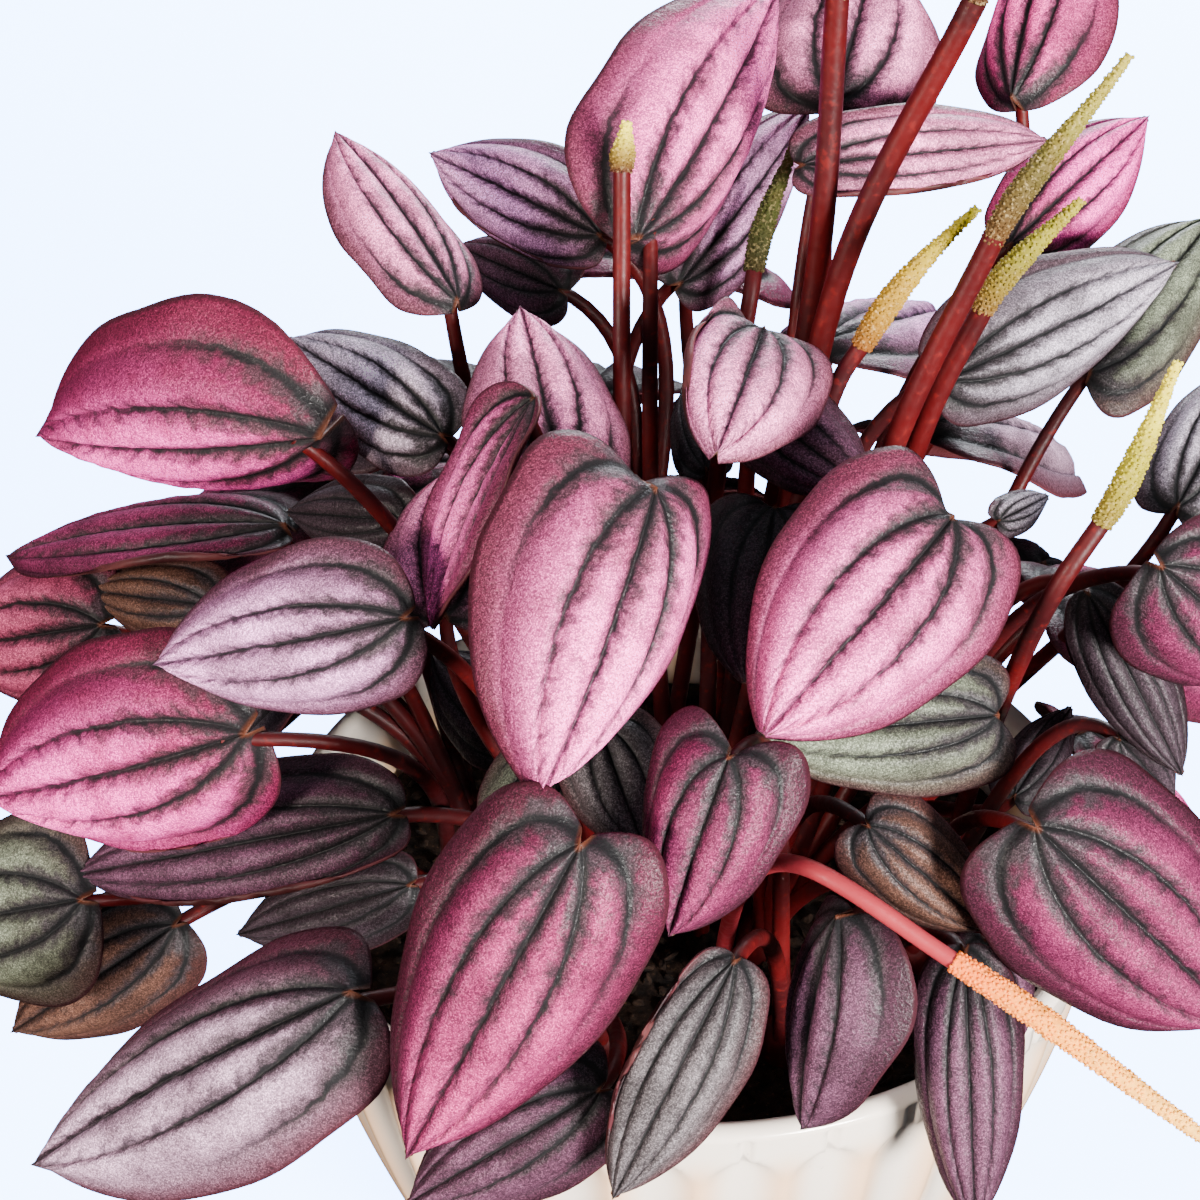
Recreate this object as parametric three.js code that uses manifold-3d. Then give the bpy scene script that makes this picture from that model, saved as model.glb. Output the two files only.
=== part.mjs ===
// Potted ripple peperomia: a bushy rosette plant with rippled heart-shaped leaves on red stalks,
// and upright flower spikes, standing in dark potting mix in a white fluted ceramic pot.
// Millimetres, +Z up. The origin is the centre of the pot's foot, and the plant's front faces -Y.
import * as THREE from 'three';
import { mergeVertices } from 'three/addons/utils/BufferGeometryUtils.js';
import Module from 'manifold-3d';

const wasm = await Module();
wasm.setup();

// Pot: a rounded taper with concave flutes that end in arches under a smooth rim band
const POT_HEIGHT = 92;
const RIM_RADIUS = 60;
const FOOT_RADIUS = 33;
const POT_WALL = 3.5;
const POT_FLOOR = 5;
const RIM_BAND = 6;
const FLUTES = 32;
const FLUTE_DEPTH = 1.5;
const FOOT_FLUTE_DEPTH = 0.4;
const POT_FLUTED = [14, 46, 83];
const POT_BAND = [POT_HEIGHT - RIM_BAND, POT_HEIGHT];
const POT_INSIDE = [POT_HEIGHT, 50, POT_FLOOR];

// Potting mix and the gap that keeps neighbouring solids apart
const SOIL_TOP = 80;
const SOIL_CAMBER = 1;
const SOIL_FLAT = 30;
const SOIL_INSET = 1.6;
const GAP = 0.35;

// Plant: crowns in the soil, leaf stalks and blades
const CROWN_RADIUS = 4;
const CROWN_HEIGHT = 6;
const CROWN_DEPTH = 12;
const LEAF_STALK_RADIUS = 1.4;
const BLADE_THICKNESS = 0.9;

// Flower spikes: red stalks with a cream tail of tiny florets
const FLOWER_STALK_RADIUS = 1.7;
const FLOWER_DEPTH = 8;
const SPIKE_RADIUS = 1.9;
const SPIKE_BUMP = 0.3;

// Front view that the visible leaves are laid out in: places are picture points of a 1200-point
// square, and their nearness to the viewer is in millimetres from the plane through the rim
const VIEW_TILT = THREE.MathUtils.degToRad(36);
const VIEW_DISTANCE = 420;
const VIEW_FOCAL = 2880;
const VIEW_MIDDLE = 600;
const VIEW_TARGET = new THREE.Vector3(-13, 20, POT_HEIGHT + 27.5);
const VIEW_RIGHT = new THREE.Vector3(1, 0, 0);
const VIEW_UP = new THREE.Vector3(0, Math.sin(VIEW_TILT), Math.cos(VIEW_TILT));
const VIEW_BACK = new THREE.Vector3(0, -Math.cos(VIEW_TILT), Math.sin(VIEW_TILT));
const VIEWER = VIEW_TARGET.clone().addScaledVector(VIEW_BACK, VIEW_DISTANCE);

// Hidden leaves are laid out round the middle of the bush by bearing, height angle and distance
const BUSH_MIDDLE = new THREE.Vector3(0, 0, POT_HEIGHT + 2);

function seen([x, y], near) {
  const scale = (VIEW_DISTANCE - near) / VIEW_FOCAL;
  return VIEW_TARGET.clone()
    .addScaledVector(VIEW_BACK, near)
    .addScaledVector(VIEW_RIGHT, (x - VIEW_MIDDLE) * scale)
    .addScaledVector(VIEW_UP, (VIEW_MIDDLE - y) * scale);
}

function aroundBush(bearing, rise, distance) {
  const turn = THREE.MathUtils.degToRad(bearing);
  const lift = THREE.MathUtils.degToRad(rise);
  const flat = distance * Math.cos(lift);
  const offset = new THREE.Vector3(flat * Math.cos(turn), flat * Math.sin(turn), distance * Math.sin(lift));
  return BUSH_MIDDLE.clone().add(offset);
}

// Solids
function solidOf(geometry) {
  geometry.deleteAttribute('normal');
  geometry.deleteAttribute('uv');
  const merged = mergeVertices(geometry, 1e-4);
  return new wasm.Manifold(new wasm.Mesh({
    numProp: 3,
    vertProperties: new Float32Array(merged.attributes.position.array),
    triVerts: new Uint32Array(merged.index.array),
  }));
}

function geometryOf(solid) {
  const mesh = solid.getMesh();
  const geometry = new THREE.BufferGeometry();
  geometry.setAttribute('position', new THREE.BufferAttribute(mesh.vertProperties, 3));
  geometry.setIndex(new THREE.BufferAttribute(mesh.triVerts, 1));
  return geometry;
}

function facets(points, triangles) {
  const geometry = new THREE.BufferGeometry().setFromPoints(points);
  geometry.setIndex(triangles.flat());
  return geometry;
}

function tube(path, radius, sides, steps) {
  const section = new THREE.Shape();
  for (let i = 0; i < sides; i++) {
    const angle = (i / sides) * 2 * Math.PI;
    const x = radius * Math.cos(angle);
    const y = radius * Math.sin(angle);
    if (i === 0) section.moveTo(x, y);
    else section.lineTo(x, y);
  }
  return new THREE.ExtrudeGeometry(section, { steps, bevelEnabled: false, extrudePath: path });
}

function turned(profile, sides) {
  const points = profile.map(([radius, height]) => new THREE.Vector2(radius, height));
  return new THREE.LatheGeometry(points, sides).rotateX(Math.PI / 2);
}

function upright(radius, bottom, top, sides) {
  return turned([[0, bottom], [radius, bottom], [radius, top], [0, top]], sides);
}

// Pot
function potRadius(height) {
  const depth = (POT_HEIGHT - height) / POT_HEIGHT;
  return RIM_RADIUS - (RIM_RADIUS - FOOT_RADIUS) * depth ** 1.5;
}

function potGeometry() {
  const around = 2 * FLUTES;
  const rings = [
    { height: 0, depth: FOOT_FLUTE_DEPTH, inset: 0 },
    ...POT_FLUTED.map((height) => ({ height, depth: FLUTE_DEPTH, inset: 0 })),
    ...POT_BAND.map((height) => ({ height, depth: 0, inset: 0 })),
    ...POT_INSIDE.map((height) => ({ height, depth: 0, inset: POT_WALL })),
  ];
  const points = [];
  for (const { height, depth, inset } of rings) {
    for (let i = 0; i < around; i++) {
      const radius = potRadius(height) - inset - (i % 2) * depth;
      const angle = (i / around) * 2 * Math.PI;
      points.push(new THREE.Vector3(radius * Math.cos(angle), radius * Math.sin(angle), height));
    }
  }
  const under = points.push(new THREE.Vector3(0, 0, 0)) - 1;
  const inside = points.push(new THREE.Vector3(0, 0, POT_FLOOR)) - 1;
  const triangles = [];
  for (let i = 0; i < around; i++) {
    const next = (i + 1) % around;
    triangles.push([under, next, i]);
    for (let ring = 0; ring < rings.length - 1; ring++) {
      const low = ring * around;
      const high = low + around;
      triangles.push([low + i, low + next, high + next], [low + i, high + next, high + i]);
    }
    const last = (rings.length - 1) * around;
    triangles.push([inside, last + i, last + next]);
  }
  return facets(points, triangles);
}

// Crowns stand on two rings round a middle one, and each takes the leaves that lie out from it
const CROWN_REACH = 0.42;
const CROWN_RINGS = [
  { count: 1, radius: 0, first: 0 },
  { count: 4, radius: 15, first: 45 },
  { count: 8, radius: 34, first: 22.5 },
];
const crowns = CROWN_RINGS.flatMap(({ count, radius, first }) => Array.from({ length: count }, (_, i) => {
  const angle = THREE.MathUtils.degToRad(first + (360 * i) / count);
  return { x: radius * Math.cos(angle), y: radius * Math.sin(angle), leaves: [] };
}));

function crownGeometry({ x, y }) {
  const profile = [
    [0, SOIL_TOP - CROWN_DEPTH], [CROWN_RADIUS, SOIL_TOP - CROWN_DEPTH],
    [CROWN_RADIUS, SOIL_TOP + 0.5 * CROWN_HEIGHT], [0.5 * CROWN_RADIUS, SOIL_TOP + CROWN_HEIGHT],
    [0, SOIL_TOP + CROWN_HEIGHT],
  ];
  return turned(profile, 8).translate(x, y, 0);
}

// Blade: a heart-shaped outline, a swell on each side of the midrib, a drooping rim and a waved
// margin. across runs from -1 to 1 between the margins, along from 0 at the stalk to 1 at the tip.
const BLADE_COLUMNS = [-1, -0.5, 0, 0.5, 1];
const BLADE_ROWS = [0.15, 0.37, 0.6, 0.82];
const WAVES = 2.2;

function bezier(t, a, b, c, d) {
  const u = 1 - t;
  return u * u * u * a + 3 * u * u * t * b + 3 * u * t * t * c + t * t * t * d;
}

function bladeFrame(leaf) {
  const along = leaf.tip.clone().sub(leaf.base);
  const length = along.length();
  along.normalize();
  const face = leaf.facing.clone().addScaledVector(along, -along.dot(leaf.facing)).normalize();
  const side = new THREE.Vector3().crossVectors(along, face);
  const roll = THREE.MathUtils.degToRad(leaf.roll);
  const up = face.clone().multiplyScalar(Math.cos(roll)).addScaledVector(side, Math.sin(roll));
  const right = new THREE.Vector3().crossVectors(along, up);
  return { along, up, right, length };
}

function bladePoint(leaf, frame, across, along) {
  const { length } = frame;
  const half = 0.5 * leaf.wide * length;
  const away = Math.abs(across);
  const marginX = bezier(along, 0, 1.15 * half, 1.5 * half, 0);
  const marginY = bezier(along, 0, -leaf.lobe * length, 0.72 * length, length);
  const x = across * marginX;
  const y = THREE.MathUtils.lerp(along * length, marginY, away ** 1.5);
  const body = Math.sin(Math.PI * Math.min(1, Math.max(0, along)));
  const droop = -leaf.droop * half * away ** 2.2 * (0.35 + 0.65 * body);
  const arch = leaf.arch * length * 4 * along * (1 - along);
  const ripple = 0.5 * leaf.ripple * body * (1 - Math.cos(2 * Math.PI * away)) * (1 - 0.4 * away);
  const turn = 2 * Math.PI * WAVES * along + leaf.phase + (across > 0 ? 2 : 0);
  const wave = leaf.wave * away ** 4 * body * Math.sin(turn);
  return leaf.base.clone()
    .addScaledVector(frame.right, x)
    .addScaledVector(frame.along, y)
    .addScaledVector(frame.up, droop + arch + ripple + wave);
}

function bladeGeometry(leaf) {
  const frame = bladeFrame(leaf);
  const columns = BLADE_COLUMNS.length;
  const face = [leaf.base.clone()];
  for (const along of BLADE_ROWS) {
    for (const across of BLADE_COLUMNS) face.push(bladePoint(leaf, frame, across, along));
  }
  face.push(leaf.tip.clone());
  const tip = face.length - 1;
  const lastRow = tip - columns;
  const front = [];
  for (let i = 0; i < columns - 1; i++) {
    front.push([0, 2 + i, 1 + i]);
    for (let row = 1; row < lastRow; row += columns) {
      const next = row + columns;
      front.push([row + i, row + i + 1, next + i + 1], [row + i, next + i + 1, next + i]);
    }
    front.push([lastRow + i, lastRow + i + 1, tip]);
  }
  const rim = [0];
  for (let row = 1; row <= lastRow; row += columns) rim.push(row + columns - 1);
  rim.push(tip);
  for (let row = lastRow; row >= 1; row -= columns) rim.push(row);
  const under = face.length;
  const back = front.map(([a, b, c]) => [a + under, c + under, b + under]);
  const wall = rim.flatMap((a, i) => {
    const b = rim[(i + 1) % rim.length];
    return [[a, b + under, b], [a, a + under, b + under]];
  });
  const lower = face.map((point) => point.clone().addScaledVector(frame.up, -BLADE_THICKNESS));
  return facets([...face, ...lower], [...front, ...back, ...wall]);
}

// Leaf stalk: rises from its crown and ends inside the blade, coming to it from below
const SEAT_ALONG = 0.09;

function stalkPath(leaf, crown) {
  const frame = bladeFrame(leaf);
  const seat = bladePoint(leaf, frame, 0, SEAT_ALONG).addScaledVector(frame.up, -0.8 * BLADE_THICKNESS);
  const outward = new THREE.Vector3(leaf.base.x - crown.x, leaf.base.y - crown.y, 0);
  outward.normalize();
  const foot = new THREE.Vector3(crown.x, crown.y, SOIL_TOP + 2).addScaledVector(outward, 1.5);
  const reach = seat.distanceTo(foot);
  const rise = foot.clone().addScaledVector(outward, 0.1 * reach);
  rise.z += leaf.rise * reach;
  const arrive = frame.along.clone().multiplyScalar(0.55).addScaledVector(frame.up, 0.75).normalize();
  const approach = leaf.from ?? seat.clone().addScaledVector(arrive, -leaf.reach * reach);
  return new THREE.CubicBezierCurve3(foot, rise, approach, seat);
}

// Leaves seen from the front: stalk end, tip, nearness of both, and shape
const LEAF_SHAPE = {
  roll: 0, wide: 0.8, lobe: 0.36, droop: 0.2, arch: 0.05, ripple: 1.2, wave: 0.7,
  rise: 0.4, reach: 0.3,
};
const leaves = [];

function leaf(base, tip, [nearBase, nearTip], shape = {}) {
  const placed = { ...LEAF_SHAPE, ...shape, base: seen(base, nearBase), tip: seen(tip, nearTip) };
  placed.facing = VIEWER.clone().sub(placed.base);
  if (shape.from) placed.from = seen(shape.from, shape.fromNear);
  placed.phase = 1.7 * leaves.length;
  leaves.push(placed);
}

// Front and middle
leaf([658, 487], [543, 795], [84, 86], { wide: 0.86, roll: -28, droop: 0.42, lobe: 0.4 });
leaf([955, 515], [765, 735], [80, 86], { wide: 0.88, roll: -8, lobe: 0.45 });
leaf([580, 845], [405, 1160], [88, 74], { wide: 0.63, from: [590, 930], fromNear: 58 });
leaf([728, 757], [668, 937], [84, 80], { wide: 0.92, roll: 14, lobe: 0.62 });
leaf([1037, 828], [1250, 1030], [72, 56], {
  wide: 0.76, lobe: 0.26, crown: 12, from: [950, 780], fromNear: 50,
});
leaf([735, 960], [612, 1200], [72, 66], { wide: 0.5, lobe: 0.1 });
leaf([835, 915], [800, 1130], [66, 60], { wide: 0.78, roll: 48, droop: 0.4, lobe: 0.2 });
leaf([965, 950], [975, 1230], [60, 50], { wide: 0.4, lobe: 0.1 });
leaf([600, 1090], [405, 1205], [60, 50], { wide: 0.6 });
leaf([868, 826], [990, 932], [62, 57], { wide: 0.7 });
leaf([1000, 715], [755, 738], [62, 66], { wide: 0.64 });
leaf([775, 505], [745, 682], [62, 68], { wide: 0.85 });
leaf([745, 400], [868, 490], [58, 62], { wide: 0.75 });
leaf([765, 325], [718, 450], [60, 76], { wide: 0.95, lobe: 0.55 });
leaf([706, 468], [684, 384], [34, 26], { wide: 0.6 });
leaf([560, 475], [520, 305], [58, 44], { wide: 0.85, roll: 10 });
leaf([533, 397], [430, 628], [68, 62], {
  wide: 0.62, roll: 62, lobe: 0.15, droop: -0.4, from: [575, 500], fromNear: 66,
});
leaf([445, 615], [450, 467], [46, 40], { wide: 0.95 });
leaf([600, 725], [645, 852], [62, 66], { wide: 0.95 });
leaf([560, 760], [490, 850], [52, 58], { wide: 0.95 });
leaf([520, 740], [430, 650], [10, 2], { wide: 0.8, crown: 2 });

// Left side
leaf([405, 618], [152, 665], [70, 52], {
  wide: 0.62, roll: -10, lobe: 0.15, from: [470, 640], fromNear: 52,
});
leaf([245, 735], [-20, 800], [52, 28], {
  wide: 0.76, roll: -20, lobe: 0.1, from: [520, 728], fromNear: 47,
});
leaf([350, 990], [30, 1165], [66, 46], { wide: 0.58, roll: 26, droop: 0.3, lobe: 0.2 });
leaf([395, 814], [70, 876], [44, 22], { wide: 0.42, lobe: 0.15 });
leaf([80, 900], [-90, 930], [26, 8], { wide: 0.9, lobe: 0.1, from: [380, 885], fromNear: 8 });
leaf([175, 925], [10, 1033], [16, 2], { wide: 0.62, lobe: 0.2, rise: 0.7 });
leaf([410, 885], [235, 935], [33, 20], { wide: 0.5, lobe: 0.2 });
leaf([100, 625], [-60, 650], [8, -10], { wide: 0.8, from: [260, 655], fromNear: 0 });
leaf([210, 605], [85, 590], [16, 4], { wide: 0.6 });
leaf([285, 522], [5, 555], [20, 0], { wide: 0.5, roll: 50, lobe: 0.15 });
leaf([400, 520], [285, 512], [33, 20], { wide: 0.6 });
leaf([320, 440], [35, 437], [50, 22], {
  wide: 0.7, roll: -44, droop: 0.45, lobe: 0.05, from: [420, 515], fromNear: 40,
});
leaf([442, 435], [285, 337], [44, 30], { wide: 0.6, lobe: 0.2 });

// Top
leaf([459, 300], [335, 130], [38, 22], { wide: 0.52, roll: 34, droop: 0.3, lobe: 0.05 });
leaf([600, 235], [428, 152], [22, 6], { wide: 0.58, lobe: 0.2 });
leaf([560, 290], [455, 245], [8, -6], { wide: 0.6 });
leaf([640, 240], [780, -15], [45, 30], {
  wide: 0.7, roll: 34, droop: 0.4, lobe: 0.1, from: [650, 400], fromNear: 30,
});
leaf([835, 100], [880, -60], [14, 4], { wide: 1.1 });
leaf([1010, 98], [1072, -120], [12.6, 0], { wide: 0.6, roll: -34, droop: 0.36, lobe: 0.05 });
leaf([680, 285], [812, 105], [14, 2], { wide: 0.5, roll: 20, lobe: 0.2 });
leaf([800, 165], [1050, 140], [30, 22], { wide: 0.42, lobe: 0.2, from: [840, 340], fromNear: 24 });

// Right side
leaf([1010, 245], [1150, 115], [22, 8], { wide: 0.52, lobe: 0.1 });
leaf([945, 380], [1180, 262], [42, 26], { wide: 0.5, roll: 14, droop: 0.25, lobe: 0.2 });
leaf([1178, 505], [1255, 355], [38, 24], { wide: 0.55, crown: 5 });
leaf([1090, 370], [1215, 215], [2, -12], { wide: 0.66 });
leaf([1088, 592], [1183, 777], [44, 38], { wide: 0.46, lobe: 0.1 });
leaf([1162, 567], [1295, 680], [62, 46], {
  wide: 0.86, lobe: 0.1, crown: 5, from: [1020, 552], fromNear: 45,
});
leaf([985, 940], [1020, 1047], [46, 38], { wide: 0.6 });
leaf([1120, 740], [1175, 800], [34, 26], { wide: 0.7 });
leaf([1000, 520], [1050, 495], [38, 34], { wide: 0.7, crown: 5 });
leaf([1015, 795], [1072, 705], [16, 8], { wide: 0.6, crown: 5 });

// Hidden side: three tiers round the back, tips hanging out and down
const BACK_TIERS = [
  { bearings: [8, 34, 60, 87, 113, 138, 157], riseBase: 14, riseTip: -12, baseAt: 60, tipAt: 86 },
  { bearings: [12, 53, 78, 105, 129, 151], riseBase: 34, riseTip: 8, baseAt: 64, tipAt: 92 },
  { bearings: [66, 90, 144], riseBase: 52, riseTip: 26, baseAt: 74, tipAt: 97 },
];
const BACK_STAGGER = 9;
for (const { bearings, riseBase, riseTip, baseAt, tipAt } of BACK_TIERS) {
  for (const [i, bearing] of bearings.entries()) {
    const swing = 3.5 * Math.sin(2.4 * leaves.length);
    const step = BACK_STAGGER * (i % 2);
    const base = aroundBush(bearing, riseBase + swing, baseAt + step);
    const tip = aroundBush(bearing + swing, riseTip + 0.5 * swing, tipAt + step);
    const facing = base.clone().add(tip).multiplyScalar(0.5).sub(BUSH_MIDDLE);
    leaves.push({ ...LEAF_SHAPE, roll: 2 * swing, base, tip, facing, phase: 1.7 * leaves.length });
  }
}

for (const placed of leaves) {
  const goal = new THREE.Vector2(placed.base.x, placed.base.y).multiplyScalar(CROWN_REACH);
  const distances = crowns.map(({ x, y }) => goal.distanceTo(new THREE.Vector2(x, y)));
  crowns[placed.crown ?? distances.indexOf(Math.min(...distances))].leaves.push(placed);
}

// Flowers: the stalk's points from the soil up, then the spike's points to its tip
const FLOWERS = [
  {
    foot: [-8, 0], stalk: [[[622, 380], 44], [[622, 165], 50]],
    spike: [[[624, 150], 51], [[627, 122], 52]],
  },
  {
    foot: [3, 7.5], stalk: [[[815, 285], 40], [[838, -10], 62]],
    spike: [[[846, -90], 66], [[850, -170], 66]],
  },
  {
    foot: [8.5, 2.5], stalk: [[[835, 290], 46], [[975, 0], 70]],
    spike: [[[1020, -90], 72], [[1075, -180], 72]],
  },
  {
    foot: [8, -3.5], stalk: [[[900, 430], 56], [[995, 235], 72]],
    spike: [[[1055, 155], 76], [[1130, 55], 78]],
  },
  {
    foot: [2, -8], stalk: [[[835, 390], 56], [[865, 340], 60]],
    spike: [[[905, 275], 64], [[978, 208], 66]],
  },
  {
    foot: [16, -1], stalk: [[[925, 425], 50], [[985, 305], 60]],
    spike: [[[1030, 250], 64], [[1082, 200], 66]],
  },
  {
    foot: [38, -1], stalk: [[[1050, 600], 70], [[1105, 518], 74]],
    spike: [[[1145, 440], 76], [[1178, 362], 78]],
  },
  {
    foot: [-3, 18], stalk: [[[750, 300], 20], [[755, 265], 20]],
    spike: [[[770, 205], 20], [[795, 145], 20]],
  },
  {
    foot: [4, -22], stalk: [[[800, 865], 72], [[960, 965], 76]],
    spike: [[[1080, 1050], 78], [[1290, 1200], 80]],
  },
];

function flowerPaths({ foot: [x, y], stalk, spike }) {
  const stalkPoints = stalk.map(([point, near]) => seen(point, near));
  const spikePoints = spike.map(([point, near]) => seen(point, near));
  const [low, high] = stalkPoints;
  const foot = new THREE.Vector3(x, y, SOIL_TOP - FLOWER_DEPTH);
  const rise = new THREE.Vector3(x, y, SOIL_TOP + 6);
  const rodPath = new THREE.CatmullRomCurve3([foot, rise, low, high], false, 'centripetal');
  const onward = rodPath.getTangent(1);
  const start = high.clone().addScaledVector(onward, GAP);
  const [bend, end] = spikePoints;
  const lead = start.clone().addScaledVector(onward, 0.3 * start.distanceTo(end));
  const spikePath = new THREE.CubicBezierCurve3(start, lead, bend, end);
  return { rodPath, spikePath };
}

// Spike: a taper with staggered bumps for its florets, bent along its path
function spikeGeometry(path) {
  const sides = 7;
  const rings = 9;
  const frames = path.computeFrenetFrames(rings, false);
  const points = [];
  for (let ring = 0; ring <= rings; ring++) {
    const along = ring / rings;
    const middle = path.getPointAt(along);
    const belly = 0.8 + 0.35 * Math.sin(Math.PI * Math.min(1, 1.1 * along));
    const taper = SPIKE_RADIUS * belly * (1 - 0.45 * along);
    for (let i = 0; i < sides; i++) {
      const angle = (2 * Math.PI * (i + 0.5 * (ring % 2))) / sides;
      const radius = taper + SPIKE_BUMP * ((i + ring) % 2);
      points.push(middle.clone()
        .addScaledVector(frames.normals[ring], radius * Math.cos(angle))
        .addScaledVector(frames.binormals[ring], radius * Math.sin(angle)));
    }
  }
  const bottom = points.push(path.getPointAt(0)) - 1;
  const top = points.push(path.getPointAt(1).addScaledVector(frames.tangents[rings], 0.8)) - 1;
  const triangles = [];
  for (let i = 0; i < sides; i++) {
    const next = (i + 1) % sides;
    triangles.push([bottom, next, i]);
    for (let ring = 0; ring < rings; ring++) {
      const low = ring * sides;
      const high = low + sides;
      triangles.push([low + i, low + next, high + next], [low + i, high + next, high + i]);
    }
    triangles.push([top, rings * sides + i, rings * sides + next]);
  }
  return facets(points, triangles);
}

// Scene
const part = new THREE.Group();

function add(name, geometry, look) {
  const mesh = new THREE.Mesh(geometry, new THREE.MeshStandardMaterial({ metalness: 0, ...look }));
  mesh.name = name;
  part.add(mesh);
}

add('pot', potGeometry(), { color: 0xf3efe9, roughness: 0.3 });

function hole(x, y, radius, depth) {
  return upright(radius + GAP, SOIL_TOP - depth - GAP, SOIL_TOP + 1, 8).translate(x, y, 0);
}

const holes = [
  ...crowns.map(({ x, y }) => hole(x, y, CROWN_RADIUS, CROWN_DEPTH)),
  ...FLOWERS.map(({ foot: [x, y] }) => hole(x, y, FLOWER_STALK_RADIUS + 0.2, FLOWER_DEPTH)),
];
const soilHeights = [POT_FLOOR + GAP, 50, SOIL_TOP - SOIL_CAMBER];
const soilProfile = [
  [0, POT_FLOOR + GAP],
  ...soilHeights.map((height) => [potRadius(height) - POT_WALL - SOIL_INSET, height]),
  [SOIL_FLAT, SOIL_TOP], [0, SOIL_TOP],
];
const soil = wasm.Manifold.difference([solidOf(turned(soilProfile, FLUTES)), ...holes.map(solidOf)]);
add('soil', geometryOf(soil), { color: 0x1d1814, roughness: 1 });

crowns.forEach((crown, index) => {
  const pieces = [crownGeometry(crown)];
  for (const placed of crown.leaves) {
    pieces.push(bladeGeometry(placed), tube(stalkPath(placed, crown), LEAF_STALK_RADIUS, 4, 5));
  }
  const stem = wasm.Manifold.union(pieces.map(solidOf));
  const name = `leafy_stem_${String(index + 1).padStart(2, '0')}`;
  add(name, geometryOf(stem), { color: 0xb0718f, roughness: 0.5 });
});

FLOWERS.forEach((flower, index) => {
  const { rodPath, spikePath } = flowerPaths(flower);
  const rod = tube(rodPath, FLOWER_STALK_RADIUS, 6, 8);
  add(`flower_stalk_${index + 1}`, rod, { color: 0x8e1f2a, roughness: 0.35 });
  add(`flower_spike_${index + 1}`, spikeGeometry(spikePath), { color: 0xb9a866, roughness: 0.8 });
});

export default part;
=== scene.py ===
import math
import bpy
import numpy as np
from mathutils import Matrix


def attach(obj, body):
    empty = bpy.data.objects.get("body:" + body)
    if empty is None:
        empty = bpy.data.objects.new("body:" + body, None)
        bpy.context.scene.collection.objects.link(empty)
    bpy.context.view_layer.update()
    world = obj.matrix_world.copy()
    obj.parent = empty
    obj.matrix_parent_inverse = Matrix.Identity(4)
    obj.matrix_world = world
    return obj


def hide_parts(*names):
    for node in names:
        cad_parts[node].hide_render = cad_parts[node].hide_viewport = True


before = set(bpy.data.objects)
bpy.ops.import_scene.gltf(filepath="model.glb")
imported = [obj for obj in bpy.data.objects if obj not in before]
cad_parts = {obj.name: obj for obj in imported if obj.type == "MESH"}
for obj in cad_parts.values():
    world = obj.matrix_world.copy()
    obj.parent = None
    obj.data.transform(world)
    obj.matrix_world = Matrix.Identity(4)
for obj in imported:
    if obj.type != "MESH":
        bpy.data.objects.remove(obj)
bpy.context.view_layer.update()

# Camera: a long lens above the plant's front, looking down on it at 36 degrees.
# The leaves in view are laid out by where they stand in this picture, 1200 points a side,
# and by how many millimetres they stand in front of the plane through its target.
MM = 0.001
VIEW_TILT = math.radians(36)
VIEW_DISTANCE = 420
VIEW_FOCAL = 2880
VIEW_MIDDLE = 600
VIEW_TARGET = np.array([-13.0, 20.0, 119.5])
VIEW_RIGHT = np.array([1.0, 0.0, 0.0])
VIEW_UP = np.array([0.0, math.sin(VIEW_TILT), math.cos(VIEW_TILT)])
VIEW_BACK = np.array([0.0, -math.cos(VIEW_TILT), math.sin(VIEW_TILT)])
VIEWER = VIEW_TARGET + VIEW_DISTANCE * VIEW_BACK


def seen(point, near):
    scale = (VIEW_DISTANCE - near) / VIEW_FOCAL
    across, down = point
    return (VIEW_TARGET + near * VIEW_BACK
            + (across - VIEW_MIDDLE) * scale * VIEW_RIGHT
            + (VIEW_MIDDLE - down) * scale * VIEW_UP)


lens = bpy.data.cameras.new("camera")
lens.sensor_width = 36
lens.lens = 36 * VIEW_FOCAL / (2 * VIEW_MIDDLE)
lens.clip_start = 0.01
lens.clip_end = 50
camera = bpy.data.objects.new("camera", lens)
camera.location = VIEWER * MM
camera.rotation_euler = (math.radians(90) - VIEW_TILT, 0, 0)
bpy.context.collection.objects.link(camera)
bpy.context.scene.camera = camera

# Pot: cast ceramic under a white glaze that warms on its ridges, 120 mm across its rim: partly thin
# glaze, partly a painted warm reflection.
# Its wall is pressed into 32 upright flutes that end in arches under a smooth rim band.
# The wall is turned first, then the flutes are sunk into its outer face.
POT_HEIGHT = 92
RIM_RADIUS = 60
FOOT_RADIUS = 33
POT_WALL = 3.5
POT_FLOOR = 5
POT_AROUND = 448
LIP_RISE = 1.4
FOOT_HOLLOW = 0.6
FLUTES = 32
FLUTE_DEPTH = 1.5
FLUTE_DEPTH_AT_FOOT = 0.4
FOOT_FADE = 14
ARCH_TOP = 86
ARCH_HEIGHT = 6


def pot_radius(height):
    depth = (POT_HEIGHT - height) / POT_HEIGHT
    return RIM_RADIUS - (RIM_RADIUS - FOOT_RADIUS) * depth ** 1.5


def piece_of(name, points, faces, edges=()):
    mesh = bpy.data.meshes.new(name)
    mesh.from_pydata((np.asarray(points) * MM).tolist(), list(edges), faces)
    if faces:
        mesh.shade_smooth()
    piece = bpy.data.objects.new(name, mesh)
    bpy.context.collection.objects.link(piece)
    return piece


def carry(piece, attribute, values):
    # Keeps one value for each point on the piece, for its finish or its tree
    sizes = {1: ("FLOAT", "value"), 3: ("FLOAT_VECTOR", "vector"), 4: ("FLOAT_COLOR", "color")}
    values = np.asarray(values, np.float32)
    kind, field = sizes[1 if values.ndim == 1 else values.shape[1]]
    layer = piece.data.attributes.new(attribute, kind, "POINT")
    layer.data.foreach_set(field, values.ravel())


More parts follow.
